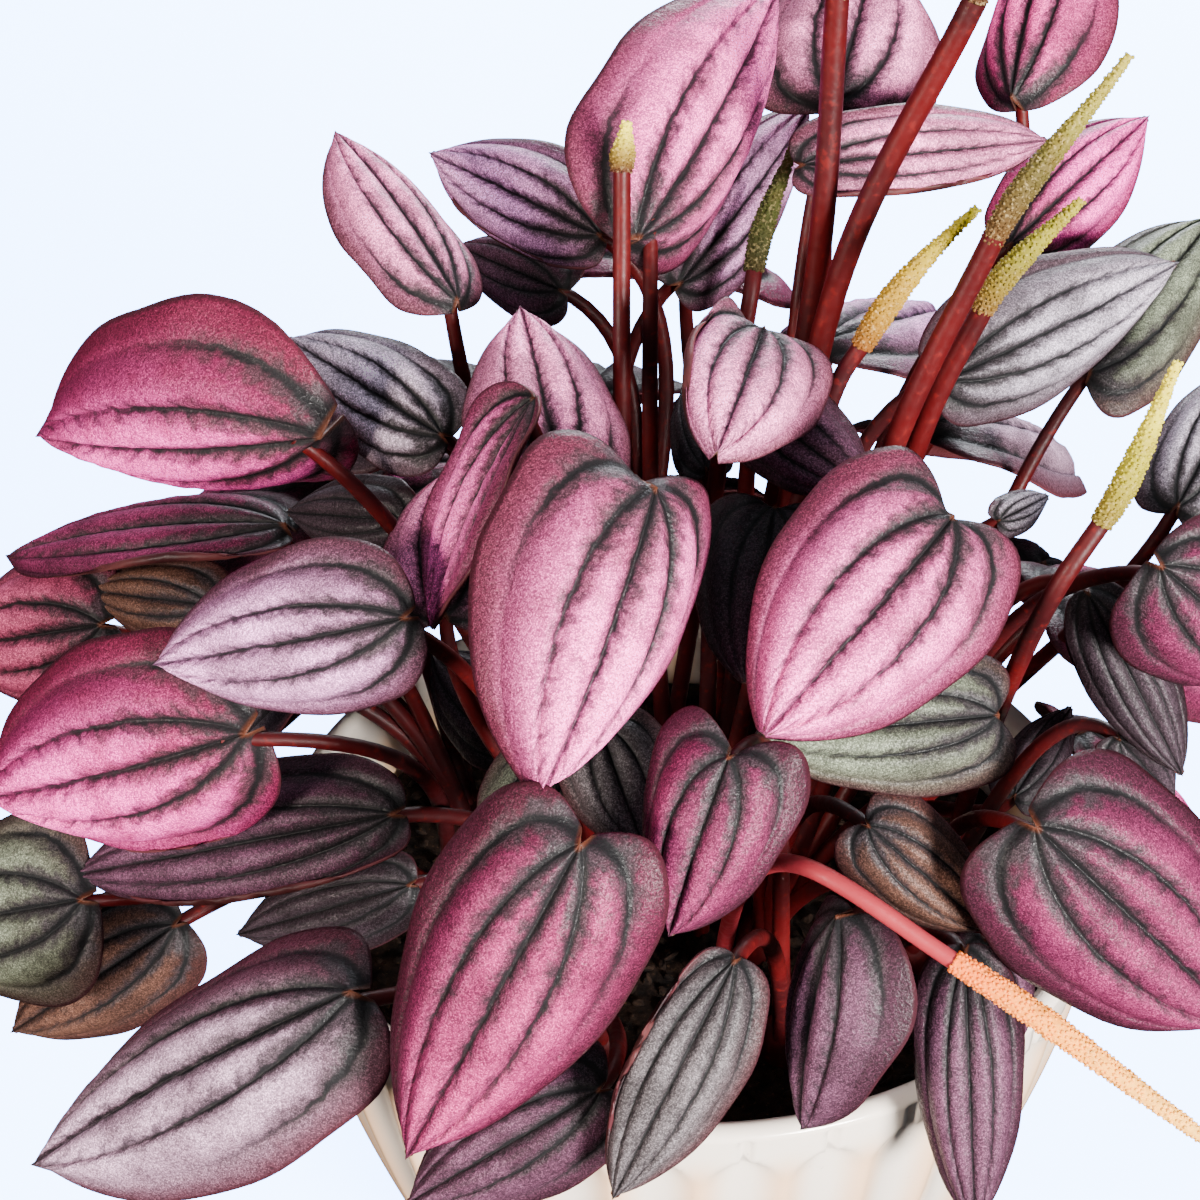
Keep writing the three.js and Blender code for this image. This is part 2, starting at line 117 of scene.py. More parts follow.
def turned(profile, around):
    # Rings of a closed profile that starts and ends on the axis
    points, faces = [(0, 0, profile[0][1])], []
    for radius, height in profile[1:-1]:
        for i in range(around):
            angle = 2 * math.pi * i / around
            points.append((radius * math.cos(angle), radius * math.sin(angle), height))
    points.append((0, 0, profile[-1][1]))
    last = len(points) - 1
    for i in range(around):
        after = (i + 1) % around
        faces.append((0, 1 + after, 1 + i))
        for low in range(1, last - around, around):
            high = low + around
            faces.append((low + i, low + after, high + after, high + i))
        faces.append((last, last - around + i, last - around + after))
    return points, faces


def put(tree, kind, inputs=None, **settings):
    made = tree.nodes.new(kind)
    for key, value in settings.items():
        setattr(made, key, value)
    for key, value in (inputs or {}).items():
        if isinstance(value, bpy.types.NodeSocket):
            tree.links.new(value, made.inputs[key])
        else:
            made.inputs[key].default_value = value
    return made


def sum_of(tree, operation, *values, clamp=False):
    inputs = dict(enumerate(values))
    return put(tree, "ShaderNodeMath", inputs, operation=operation, use_clamp=clamp).outputs[0]


def ramp(tree, value, start, end, low=0.0, high=1.0):
    inputs = {"Value": value, "From Min": start, "From Max": end, "To Min": low, "To Max": high}
    return put(tree, "ShaderNodeMapRange", inputs, interpolation_type="SMOOTHSTEP").outputs[0]


def new_tree(name, sizes):
    tree = bpy.data.node_groups.new(name, "GeometryNodeTree")
    tree.interface.new_socket("Geometry", in_out="INPUT", socket_type="NodeSocketGeometry")
    for size, kind in sizes.items():
        tree.interface.new_socket(size, in_out="INPUT", socket_type="NodeSocket" + kind)
    tree.interface.new_socket("Geometry", in_out="OUTPUT", socket_type="NodeSocketGeometry")
    return tree, put(tree, "NodeGroupInput").outputs


def grow(piece, tree, sizes):
    # Runs the tree on the piece and keeps the result as a plain mesh
    modifier = piece.modifiers.new("growth", "NODES")
    modifier.node_group = tree
    for socket in tree.interface.items_tree:
        if socket.in_out == "INPUT" and socket.name in sizes:
            modifier[socket.identifier] = sizes[socket.name]
    bpy.context.view_layer.update()
    depsgraph = bpy.context.evaluated_depsgraph_get()
    mesh = bpy.data.meshes.new_from_object(piece.evaluated_get(depsgraph))
    piece.modifiers.clear()
    piece.data = mesh


def linear(tint):
    parts = [int(tint[i:i + 2], 16) / 255 for i in (1, 3, 5)]
    light = [c / 12.92 if c <= 0.04045 else ((c + 0.055) / 1.055) ** 2.4 for c in parts]
    return (*light, 1.0)


def mix(tree, share, low, high, blend="MIX"):
    inputs = {0: share, 6: low, 7: high}
    return put(tree, "ShaderNodeMix", inputs, data_type="RGBA", blend_type=blend).outputs[2]


def speckle(tree, place, scale, detail=2.0, rough=0.5):
    inputs = {"Vector": place, "Scale": scale, "Detail": detail, "Roughness": rough}
    return put(tree, "ShaderNodeTexNoise", inputs).outputs[0]


def new_finish(name, **sockets):
    material = bpy.data.materials.new(name)
    material.use_nodes = True
    tree = material.node_tree
    shader = tree.nodes["Principled BSDF"]
    for key, value in sockets.items():
        shader.inputs[key.replace("_", " ")].default_value = value
    place = put(tree, "ShaderNodeTexCoord").outputs["Object"]
    return material, tree, shader, place


def emboss(tree, shader, height, distance, strength=1.0):
    inputs = {"Height": height, "Distance": distance, "Strength": strength}
    tree.links.new(put(tree, "ShaderNodeBump", inputs).outputs[0], shader.inputs["Normal"])


outer_heights = [0.0, 0.25, 0.8, 1.6, *np.linspace(3, 76, 34), *np.linspace(77.2, 87, 14)]
outer_heights += [88, 89.2, 90.4]
foot_round = {0.0: 1.4, 0.25: 0.75, 0.8: 0.25, 1.6: 0.0}
profile = [(0, FOOT_HOLLOW), (FOOT_RADIUS - 5, FOOT_HOLLOW), (FOOT_RADIUS - 4, 0)]
profile += [(pot_radius(height) - foot_round.get(height, 0.0), height) for height in outer_heights]
first_ring = len(profile) - 1 - len(outer_heights)
lip = RIM_RADIUS - 0.5 * POT_WALL
for angle in np.linspace(10, 170, 9):
    turn = math.radians(angle)
    height = POT_HEIGHT - LIP_RISE + LIP_RISE * math.sin(turn)
    profile.append((lip + 0.5 * POT_WALL * math.cos(turn), height))
inner_heights = [88, 84, 76, 66, 56, 46, 36, 26, 16, 9]
profile += [(pot_radius(height) - POT_WALL, height) for height in inner_heights]
profile += [(pot_radius(POT_FLOOR) - POT_WALL - 4, POT_FLOOR), (0, POT_FLOOR)]
pot = piece_of("glazed_pot", *turned(profile, POT_AROUND))
rings = np.repeat(np.arange(len(profile) - 2), POT_AROUND)
outside = (rings >= first_ring) & (rings < first_ring + len(outer_heights))
carry(pot, "outside", np.concatenate([[0], outside, [0]]))

flutes, size = new_tree("pot_flutes", {
    "Flutes": "Float", "Depth": "Float", "Foot depth": "Float",
    "Arch top": "Float", "Arch height": "Float", "Foot fade": "Float",
})
corner = put(flutes, "ShaderNodeSeparateXYZ", {0: put(flutes, "GeometryNodeInputPosition").outputs[0]})
x, y, z = corner.outputs
turns = sum_of(flutes, "DIVIDE", sum_of(flutes, "ARCTAN2", y, x), 2 * math.pi)
cell = sum_of(flutes, "FRACT", sum_of(flutes, "MULTIPLY", turns, size["Flutes"]))
off_middle = sum_of(flutes, "ABSOLUTE", sum_of(flutes, "MULTIPLY_ADD", cell, 2.0, -1.0))
arch_foot = sum_of(flutes, "SUBTRACT", size["Arch top"], size["Arch height"])
into_arch = sum_of(flutes, "DIVIDE", sum_of(flutes, "SUBTRACT", z, arch_foot), size["Arch height"])
into_arch = sum_of(flutes, "MINIMUM", sum_of(flutes, "MAXIMUM", into_arch, 0.0), 1.0)
arch = sum_of(flutes, "SQRT", sum_of(flutes, "SUBTRACT", 1.0, sum_of(flutes, "POWER", into_arch, 2.0)))
reach = sum_of(flutes, "DIVIDE", off_middle, sum_of(flutes, "MAXIMUM", arch, 0.01))
hollow = sum_of(flutes, "SUBTRACT", 1.0, sum_of(flutes, "POWER", reach, 2.0), clamp=True)
hollow = sum_of(flutes, "POWER", hollow, 1.25)
deep = ramp(flutes, z, 0.0, size["Foot fade"], size["Foot depth"], size["Depth"])
outside_wall = put(flutes, "GeometryNodeInputNamedAttribute", {"Name": "outside"}, data_type="FLOAT")
sunk = sum_of(flutes, "MULTIPLY", sum_of(flutes, "MULTIPLY", hollow, deep), outside_wall.outputs[0])
inward = put(flutes, "ShaderNodeCombineXYZ", {"X": x, "Y": y}).outputs[0]
inward = put(flutes, "ShaderNodeVectorMath", {0: inward}, operation="NORMALIZE").outputs[0]
offset = put(flutes, "ShaderNodeVectorMath", {
    0: inward, "Scale": sum_of(flutes, "MULTIPLY", sunk, -1.0),
}, operation="SCALE").outputs[0]
pressed = put(flutes, "GeometryNodeSetPosition", {"Geometry": size["Geometry"], "Offset": offset})
put(flutes, "NodeGroupOutput", {0: pressed.outputs[0]})
grow(pot, flutes, {
    "Flutes": float(FLUTES), "Depth": FLUTE_DEPTH * MM, "Foot depth": FLUTE_DEPTH_AT_FOOT * MM,
    "Arch top": ARCH_TOP * MM, "Arch height": ARCH_HEIGHT * MM, "Foot fade": FOOT_FADE * MM,
})

glaze, tree, shader, place = new_finish("white_glaze", Coat_Weight=0.5, Coat_Roughness=0.08)
cloud = speckle(tree, place, 18.0, 3.0)
tint = mix(tree, ramp(tree, cloud, 0.35, 0.7), linear("#fdf0e2"), linear("#f1e6d9"))
pinhole = ramp(tree, speckle(tree, place, 900.0), 0.68, 0.78)
tint = mix(tree, sum_of(tree, "MULTIPLY", pinhole, 0.35), tint, linear("#b9ada0"))
# Painted reflection: a warm cream tint on each flute's ridge, fading out under the rim band, stands in
# for a warm reflection as well as thin glaze there
x, y, z = put(tree, "ShaderNodeSeparateXYZ", {0: place}).outputs
turns = sum_of(tree, "MULTIPLY", sum_of(tree, "ARCTAN2", y, x), FLUTES / (2 * math.pi))
painted_ridge_reflection = sum_of(tree, "ABSOLUTE", sum_of(tree, "MULTIPLY_ADD", sum_of(tree, "FRACT", turns), 2.0, -1.0))
under_band = ramp(tree, z, (ARCH_TOP - 5) * MM, (ARCH_TOP + 3) * MM, 0.8, 0.0)
painted_ridge_reflection = sum_of(tree, "MULTIPLY", ramp(tree, painted_ridge_reflection, 0.15, 1.0), under_band)
tint = mix(tree, painted_ridge_reflection, tint, linear("#f6c391"))
tree.links.new(tint, shader.inputs["Base Color"])
tree.links.new(ramp(tree, cloud, 0.3, 0.7, 0.16, 0.28), shader.inputs["Roughness"])
emboss(tree, shader, speckle(tree, place, 60.0, 1.0), 0.0004, 0.3)
pot.data.materials.append(glaze)
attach(pot, "root")
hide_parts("pot")

# Potting mix: dark moist peat, slightly domed, filling the pot to 12 mm below its rim.
# Its top is uneven, and loose crumbs of bark and peat lie scattered over it.
SOIL_TOP = 80
SOIL_CAMBER = 1
SOIL_INSET = 1.6
SOIL_GAP = 0.35
BED_DROP = 0.6
soil_heights = [POT_FLOOR + SOIL_GAP, 15, 35, 55, 70]
soil_edge = pot_radius(SOIL_TOP - SOIL_CAMBER) - POT_WALL - SOIL_INSET
profile = [(0, POT_FLOOR + SOIL_GAP)]
profile += [(pot_radius(height) - POT_WALL - SOIL_INSET, height) for height in soil_heights]
for share in np.linspace(1, 0.02, 40):
    profile.append((soil_edge * share, SOIL_TOP - SOIL_CAMBER * share ** 3 - BED_DROP))
profile.append((0, SOIL_TOP - BED_DROP))
soil = piece_of("potting_mix", *turned(profile, 120))

crumbs, size = new_tree("peat_crumbs", {
    "Unevenness": "Float", "Spacing": "Float", "Crumb": "Float", "Peat": "Material",
})
spot = put(crumbs, "GeometryNodeInputPosition").outputs[0]
heave = put(crumbs, "ShaderNodeTexNoise", {"Vector": spot, "Scale": 160.0, "Detail": 3.0}).outputs[0]
heave = sum_of(crumbs, "MULTIPLY", sum_of(crumbs, "SUBTRACT", heave, 0.5), size["Unevenness"])
facing = put(crumbs, "ShaderNodeSeparateXYZ", {0: put(crumbs, "GeometryNodeInputNormal").outputs[0]})
level = ramp(crumbs, facing.outputs[2], 0.6, 0.9)
heave = put(crumbs, "ShaderNodeCombineXYZ", {"Z": sum_of(crumbs, "MULTIPLY", heave, level)})
bed = put(crumbs, "GeometryNodeSetPosition", {"Geometry": size["Geometry"], "Offset": heave.outputs[0]})
upward = sum_of(crumbs, "GREATER_THAN", facing.outputs[2], 0.8)
scatter = put(crumbs, "GeometryNodeDistributePointsOnFaces", {
    "Mesh": bed.outputs[0], "Selection": upward, "Distance Min": size["Spacing"],
    "Density Max": 6e5, "Seed": 4,
}, distribute_method="POISSON")
lump = put(crumbs, "GeometryNodeMeshIcoSphere", {"Radius": size["Crumb"], "Subdivisions": 2})
dent = put(crumbs, "ShaderNodeTexNoise", {"Vector": spot, "Scale": 900.0}, noise_dimensions="3D")
dent = sum_of(crumbs, "MULTIPLY_ADD", dent.outputs[0], 1.3, -0.65)
dented = put(crumbs, "ShaderNodeVectorMath", {0: spot, "Scale": dent}, operation="SCALE")
lump = put(crumbs, "GeometryNodeSetPosition", {"Geometry": lump.outputs[0], "Offset": dented.outputs[0]})
tilt = put(crumbs, "FunctionNodeRandomValue", {1: (6.3, 6.3, 6.3), "Seed": 7}, data_type="FLOAT_VECTOR")
grade = put(crumbs, "FunctionNodeRandomValue", {0: (0.4, 0.4, 0.25), 1: (1.4, 1.1, 0.7), "Seed": 9},
            data_type="FLOAT_VECTOR")
strewn = put(crumbs, "GeometryNodeInstanceOnPoints", {
    "Points": scatter.outputs[0], "Instance": lump.outputs[0],
    "Rotation": tilt.outputs[0], "Scale": grade.outputs[0],
})
whole = put(crumbs, "GeometryNodeJoinGeometry")
crumbs.links.new(put(crumbs, "GeometryNodeRealizeInstances", {0: strewn.outputs[0]}).outputs[0],
                 whole.inputs[0])
crumbs.links.new(bed.outputs[0], whole.inputs[0])
whole = put(crumbs, "GeometryNodeSetMaterial", {0: whole.outputs[0], "Material": size["Peat"]})
put(crumbs, "NodeGroupOutput", {0: whole.outputs[0]})

peat, tree, shader, place = new_finish("moist_peat", Roughness=0.95, Specular_IOR_Level=0.15)
clod = speckle(tree, place, 420.0, 4.0, 0.65)
tint = mix(tree, ramp(tree, clod, 0.35, 0.7), linear("#0c0807"), linear("#2b1d15"))
fibre = ramp(tree, speckle(tree, place, 1500.0, 2.0), 0.62, 0.72)
tint = mix(tree, sum_of(tree, "MULTIPLY", fibre, 0.6), tint, linear("#4a3524"))
tree.links.new(tint, shader.inputs["Base Color"])
emboss(tree, shader, clod, 0.001, 0.8)
grow(soil, crumbs, {"Unevenness": 2.4 * MM, "Spacing": 2.6 * MM, "Crumb": 1.3 * MM, "Peat": peat})
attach(soil, "root")
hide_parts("soil")

# Leafy stems: thirteen short crowns in the peat, each with its own leaves on red stalks.
# A leaf is one heart-shaped fleshy blade about 0.6 mm thick, puffed up between five sunken
# veins, drooping at its rim, with a dark red underside. All of a stem's leaves grew as one.
BLADE_THICKNESS = 0.6
SIDE_VEINS = (0.4, 0.77)
VEINS = (0.0, *SIDE_VEINS)
VEIN_GROOVES = (0.075, 0.06, 0.045)
VEIN_THINNING = 0.62
PUFF = 0.75
PUFF_HALF_WIDTH = 13
RIPPLE_SPACINGS = (5.2, 3.4)
GROOVE = 0.4
RIM_FALL = 0.26
RIM_WOBBLE = 0.022

# A leaf's shape where its own line gives no other. Roll is in degrees, ripple and wave are in
# millimetres, and the other sizes are shares of the blade's or the stalk's length or width. Start
# is a place that the stalk passes, curl rolls one margin, and shade paints shade, in the rim tint,
# over one side of the blade
LEAF_SHAPE = {
    "roll": 0, "wide": 0.8, "lobe": 0.36, "droop": 0.2, "arch": 0.05, "ripple": 1.2, "wave": 0.7,
    "rise": 0.4, "reach": 0.3, "crown": None, "start": None, "start_near": 0, "curl": None, "shade": 0,
}

# Leaf finishes: the blade between its veins, its palest places and its rim, whose tint is also painted as
# shade over one side of a blade
LEAF_TINTS = {
    "rose": ("#6e3046", "#ff6ebd", "#50202f"),
    "magenta": ("#4b182d", "#aa396f", "#35121e"),
    "garnet": ("#3d1728", "#762a4e", "#2c141d"),
    "hotpink": ("#73203d", "#ff5abb", "#55162b"),
    "orchid": ("#6d2946", "#ff59af", "#581f31"),
    "blush": ("#683e4f", "#ff8ec7", "#4d2931"),
    "lilac": ("#5a404d", "#e79ed8", "#41232c"),
    "frost": ("#46333c", "#b795ad", "#3e1e27"),
    "silver": ("#3b3739", "#b2a7b7", "#36252b"),
    "pewter": ("#2f2b2c", "#5e585b", "#3b2528"),
    "mist": ("#4e494d", "#fee4ff", "#3f2e33"),
    "plum": ("#2e1c25", "#5d3b4f", "#29161e"),
    "night": ("#1d171a", "#372c33", "#1e1418"),
    "sage": ("#32312b", "#707865", "#3a2828"),
    "bronze": ("#2d1f1c", "#593e34", "#2d1919"),
    "wine": ("#572535", "#b64d72", "#3f1c25"),
}


def unit(vector):
    return vector / np.linalg.norm(vector)


def bezier(along, a, b, c, d):
    back = 1 - along
    return back ** 3 * a + 3 * back ** 2 * along * b + 3 * back * along ** 2 * c + along ** 3 * d


def blade_frame(leaf):
    along = leaf["tip"] - leaf["base"]
    length = np.linalg.norm(along)
    along = along / length
    face = unit(leaf["facing"] - along.dot(leaf["facing"]) * along)
    side = np.cross(along, face)
    roll = math.radians(leaf["roll"])
    up = face * math.cos(roll) + side * math.sin(roll)
    return along, up, np.cross(along, up), length


def vein_nearness(away, along, span):
    # Distance from the nearest vein in widths of that vein, which thins towards the tip
    thin = 1 - VEIN_THINNING * along
    gaps = [np.abs(away - vein) * span / (width * thin) for vein, width in zip(VEINS, VEIN_GROOVES)]
    return np.minimum.reduce(gaps)


def blade_span(along):
    # Half width along the blade as a share of its widest: broad near the base, drawn out to the tip
    return bezier(along, 0, 1.2, 1.28, 0)


def panel_puff(away):
    # The blade puffs up between its veins, less towards its rim
    first, second = SIDE_VEINS
    inner = np.abs(np.sin(math.pi * away / first)) ** 0.8
    middle = np.abs(np.sin(math.pi * np.clip((away - first) / (second - first), 0, 1))) ** 0.8
    rim = np.sin(math.pi * np.clip((away - second) / 0.3, 0, 1))
    return np.where(away < first, inner, np.where(away < second, 0.9 * middle, 0.5 * rim))


def cross_ripples(away, ahead, phase):
    # Two fine waves that run askew over the panels
    wide_ripple, narrow_ripple = RIPPLE_SPACINGS
    cross = np.sin(2 * math.pi * (ahead / wide_ripple - 2.4 * away) + phase)
    return cross + np.sin(2 * math.pi * (ahead / narrow_ripple + 1.7 * away) + 2 * phase)


def rolled_margin(curl, across, along, reach):
    # One side's margin rolls up and over, so that it shows the underside
    side, held, degrees = curl
    folds = np.clip(side * across - held, 0, 1) * reach
    turn = math.radians(degrees) * np.sin(math.pi * np.clip(along, 0, 1)) ** 0.7
    radius = np.maximum((1 - held) * reach, 1e-6) / np.maximum(turn, 1e-3)
    return side * (folds - radius * np.sin(folds / radius)), radius * (1 - np.cos(folds / radius))


def blade_point(leaf, across, along, fine=True):
    # A point of the upper face. The coarse form, without puffs or grooves, seats the leaf's stalk
    forward, up, right, length = leaf["frame"]
    half = 0.5 * leaf["wide"] * length
    away = np.abs(across)
    span = blade_span(along) if fine else bezier(along, 0, 1.15, 1.5, 0)
    margin = bezier(along, 0, -leaf["lobe"] * length, 0.72 * length, length)
    ahead = along * length + (margin - along * length) * away ** 1.5
    body = np.sin(math.pi * np.clip(along, 0, 1))
    lift = -leaf["droop"] * half * away ** 2.2 * (0.35 + 0.65 * body)
    lift = lift + leaf["arch"] * length * 4 * along * (1 - along)
    if fine:
        lift = lift - RIM_FALL * half * np.clip((away - 0.3) / 0.7, 0, 1) ** 1.4 * (0.5 + 0.5 * body)
    turn = 2 * math.pi * 2.2 * along + leaf["phase"] + np.where(across > 0, 2, 0)
    lift = lift + leaf["wave"] * away ** 4 * body * np.sin(turn)
    swell = leaf["ripple"] * body * (1 - np.cos(2 * math.pi * away)) * (1 - 0.4 * away)
    if fine:
        size = half / PUFF_HALF_WIDTH
        cross = cross_ripples(away, along * length, leaf["phase"])
        lift = lift + 0.22 * swell + size * body ** 0.5 * panel_puff(away) * (PUFF + 0.07 * cross)
        lift = lift - GROOVE * size * np.exp(-vein_nearness(away, along, span) ** 2)
    else:
        lift = lift + 0.5 * swell
    away_from_axis = across * half * span
    if fine:
        wobble = np.sin(9 * along + leaf["phase"]) + 0.7 * np.sin(23 * along + 2 * leaf["phase"] + across)
        away_from_axis = away_from_axis * (1 + RIM_WOBBLE * wobble * away ** 3)
    if fine and leaf["curl"] is not None:
        drawn_in, raised = rolled_margin(leaf["curl"], across, along, half * span)
        away_from_axis = away_from_axis - drawn_in
        lift = lift + raised
    return (leaf["base"] + away_from_axis[..., None] * right
            + ahead[..., None] * forward + lift[..., None] * up)


# The grid of a blade is finer at its veins, its base and its tip
first, second = SIDE_VEINS
side_steps = np.concatenate([
    first * (0.5 - 0.5 * np.cos(np.linspace(0, math.pi, 9))),
    first + (second - first) * (0.5 - 0.5 * np.cos(np.linspace(0, math.pi, 8)[1:])),
    np.linspace(second, 1, 7)[1:],
])
ACROSS = np.concatenate([-side_steps[:0:-1], side_steps])
even = np.linspace(0, 1, 41)
ALONG = (0.55 * even + 0.45 * (0.5 - 0.5 * np.cos(math.pi * even)))[1:-1]


def blade_mesh(leaf):
    # The upper and lower faces are one grid each between the stalk end and the tip
    across, along = np.meshgrid(ACROSS, ALONG)
    upper = blade_point(leaf, across, along)
    nudge = 1e-3
    by_across = blade_point(leaf, across + nudge, along) - blade_point(leaf, across - nudge, along)
    by_along = blade_point(leaf, across, along + nudge) - blade_point(leaf, across, along - nudge)
    normal = np.cross(by_across, by_along)
    normal = normal / np.linalg.norm(normal, axis=-1, keepdims=True)
    thick = BLADE_THICKNESS * (1 - 0.35 * np.abs(across) ** 6)
    lower = upper - normal * thick[..., None]
    up = leaf["frame"][1]
    ends = [leaf["base"], leaf["tip"]]
    rows, columns = across.shape
    count = rows * columns + 2
    points = []
    for face, drop in ((upper, 0), (lower, BLADE_THICKNESS)):
        points += [ends[0] - drop * up, *face.reshape(-1, 3), ends[1] - drop * up]
    front = []
    last = 1 + (rows - 1) * columns
    for i in range(columns - 1):
        front.append((0, 2 + i, 1 + i))
        for row in range(1, last, columns):
            front.append((row + i, row + i + 1, row + columns + i + 1, row + columns + i))
        front.append((last + i, last + i + 1, count - 1))
    under = [tuple(count + corner for corner in reversed(face)) for face in front]
    rim = [0, *range(columns, last + columns, columns), count - 1, *range(last, 0, -columns)]
    edge = [(a, a + count, b + count, b) for a, b in zip(rim, rim[1:] + rim[:1])]
    span = blade_span(along)
    spots = np.stack([across, along, span], -1).reshape(-1, 3)
    spots = np.concatenate([[(0, 0, 0)], spots, [(0, 1, 0)]])
    return np.array(points), front, under + edge, np.concatenate([spots, spots])


leaves = []


def leaf(tint, base, tip, near, **shape):
    placed = {**LEAF_SHAPE, **shape, "tint": tint}
    placed["base"], placed["tip"] = seen(base, near[0]), seen(tip, near[1])
    placed["facing"] = VIEWER - placed["base"]
    placed["phase"] = 1.7 * len(leaves)
    leaves.append(placed)


# Front and middle. Each leaf in view has its tint, where its base and its tip show in the picture,
# and how near to the viewer both stand
leaf("rose", (658, 487), (543, 795), (84, 86), wide=0.86, roll=-28, droop=0.42, lobe=0.4, shade=0.7)
leaf("rose", (955, 515), (765, 735), (80, 86), wide=0.88, roll=-8, lobe=0.45, shade=0.55)
leaf("magenta", (580, 845), (405, 1160), (88, 74), wide=0.63, start=(590, 930), start_near=58,
     shade=0.8)
leaf("garnet", (728, 757), (668, 937), (84, 80), wide=0.92, roll=14, lobe=0.62)
leaf("garnet", (1037, 828), (1250, 1030), (72, 56), wide=0.76, lobe=0.26, crown=12,
     start=(950, 780), start_near=50)
leaf("pewter", (735, 960), (612, 1200), (72, 66), wide=0.5, lobe=0.1, curl=(1, 0.45, 120))
leaf("plum", (835, 915), (800, 1130), (66, 60), wide=0.78, roll=48, droop=0.4, lobe=0.2)
leaf("plum", (965, 950), (975, 1230), (60, 50), wide=0.4, lobe=0.1)
leaf("plum", (600, 1090), (405, 1205), (60, 50), wide=0.6)
leaf("bronze", (868, 826), (990, 932), (62, 57), wide=0.7)
leaf("sage", (1000, 715), (755, 738), (62, 66), wide=0.64)
leaf("night", (775, 505), (745, 682), (62, 68), wide=0.85)
leaf("plum", (745, 400), (868, 490), (58, 62), wide=0.75)
leaf("blush", (765, 325), (718, 450), (60, 76), wide=0.95, lobe=0.55, curl=(1, 0.5, 130))
leaf("night", (706, 468), (684, 384), (34, 26), wide=0.6)
leaf("blush", (560, 475), (520, 305), (58, 44), wide=0.85, roll=10)
leaf("rose", (533, 397), (430, 628), (68, 62), wide=0.62, roll=62, lobe=0.15, droop=-0.4,
     start=(575, 500), start_near=66, shade=-1.2)
leaf("blush", (445, 615), (450, 467), (46, 40), wide=0.95)
leaf("pewter", (600, 725), (645, 852), (62, 66), wide=0.95)
leaf("sage", (560, 760), (490, 850), (52, 58), wide=0.95)
leaf("night", (520, 740), (430, 650), (10, 2), wide=0.8, crown=2)

# Left side
leaf("lilac", (405, 618), (152, 665), (70, 52), wide=0.62, roll=-10, lobe=0.15, start=(470, 640),
     start_near=52, shade=0.6)
leaf("hotpink", (245, 735), (-20, 800), (52, 28), wide=0.76, roll=-20, lobe=0.1, start=(520, 728),
     start_near=47, shade=1.1, curl=(-1, 0.8, 110))
leaf("frost", (350, 990), (30, 1165), (66, 46), wide=0.58, roll=26, droop=0.3, lobe=0.2,
     shade=1.1)
leaf("plum", (395, 814), (70, 876), (44, 22), wide=0.42, lobe=0.15, curl=(-1, 0.45, 130))
leaf("sage", (80, 900), (-90, 930), (26, 8), wide=0.9, lobe=0.1, start=(380, 885), start_near=8)
leaf("bronze", (175, 925), (10, 1033), (16, 2), wide=0.62, lobe=0.2, rise=0.7)
leaf("night", (410, 885), (235, 935), (33, 20), wide=0.5, lobe=0.2)
leaf("wine", (100, 625), (-60, 650), (8, -10), wide=0.8, start=(260, 655), start_near=0)
leaf("bronze", (210, 605), (85, 590), (16, 4), wide=0.6)
leaf("garnet", (285, 522), (5, 555), (20, 0), wide=0.5, roll=50, lobe=0.15, curl=(-1, 0.4, 120))
leaf("night", (400, 520), (285, 512), (33, 20), wide=0.6)
leaf("hotpink", (320, 440), (35, 437), (50, 22), wide=0.7, roll=-44, droop=0.45, lobe=0.05,
     start=(420, 515), start_near=40, shade=1.1, curl=(-1, 0.82, 110))
leaf("mist", (442, 435), (285, 337), (44, 30), wide=0.6, lobe=0.2)

# Top
leaf("blush", (459, 300), (335, 130), (38, 22), wide=0.52, roll=34, droop=0.3, lobe=0.05)
leaf("lilac", (600, 235), (428, 152), (22, 6), wide=0.58, lobe=0.2, curl=(-1, 0.6, 120))
leaf("plum", (560, 290), (455, 245), (8, -6), wide=0.6)
leaf("rose", (640, 240), (780, -15), (45, 30), wide=0.7, roll=34, droop=0.4, lobe=0.1,
     start=(650, 400), start_near=30)
leaf("blush", (835, 100), (880, -60), (14, 4), wide=1.1)
leaf("orchid", (1010, 98), (1072, -120), (12.6, 0), wide=0.6, roll=-34, droop=0.36, lobe=0.05)
leaf("lilac", (680, 285), (812, 105), (14, 2), wide=0.5, roll=20, lobe=0.2)
leaf("blush", (800, 165), (1050, 140), (30, 22), wide=0.42, lobe=0.2, start=(840, 340), start_near=24,
     curl=(1, 0.45, 130))

# Right side
leaf("hotpink", (1010, 245), (1150, 115), (22, 8), wide=0.52, lobe=0.1)
leaf("silver", (945, 380), (1180, 262), (42, 26), wide=0.5, roll=14, droop=0.25, lobe=0.2, shade=-0.8)
leaf("silver", (1178, 505), (1255, 355), (38, 24), wide=0.55, crown=5)
leaf("sage", (1090, 370), (1215, 215), (2, -12), wide=0.66)
leaf("night", (1088, 592), (1183, 777), (44, 38), wide=0.46, lobe=0.1)
leaf("garnet", (1162, 567), (1295, 680), (62, 46), wide=0.86, lobe=0.1, crown=5,
     start=(1020, 552), start_near=45)
leaf("plum", (985, 940), (1020, 1047), (46, 38), wide=0.6)
leaf("night", (1120, 740), (1175, 800), (34, 26), wide=0.7)
leaf("silver", (1000, 520), (1050, 495), (38, 34), wide=0.7, crown=5)
leaf("night", (1015, 795), (1072, 705), (16, 8), wide=0.6, crown=5)

# Hidden side: three tiers round the back, tips hanging out and down. A tier has its leaves'
# bearings, how far they rise at base and tip, and how far from the middle these lie
BUSH_MIDDLE = np.array([0.0, 0.0, 94.0])
BACK_TIERS = [
    ((8, 34, 60, 87, 113, 138, 157), 14, -12, 60, 86),
    ((12, 53, 78, 105, 129, 151), 34, 8, 64, 92),
    ((66, 90, 144), 52, 26, 74, 97),
]
BACK_STAGGER = 9
BACK_TINTS = ("rose", "garnet", "lilac", "hotpink", "silver", "magenta", "frost", "orchid", "plum")


def around_bush(bearing, rise, distance):
    turn, lift = math.radians(bearing), math.radians(rise)
    flat = math.cos(lift)
    return BUSH_MIDDLE + distance * np.array(
        [math.cos(turn) * flat, math.sin(turn) * flat, math.sin(lift)])


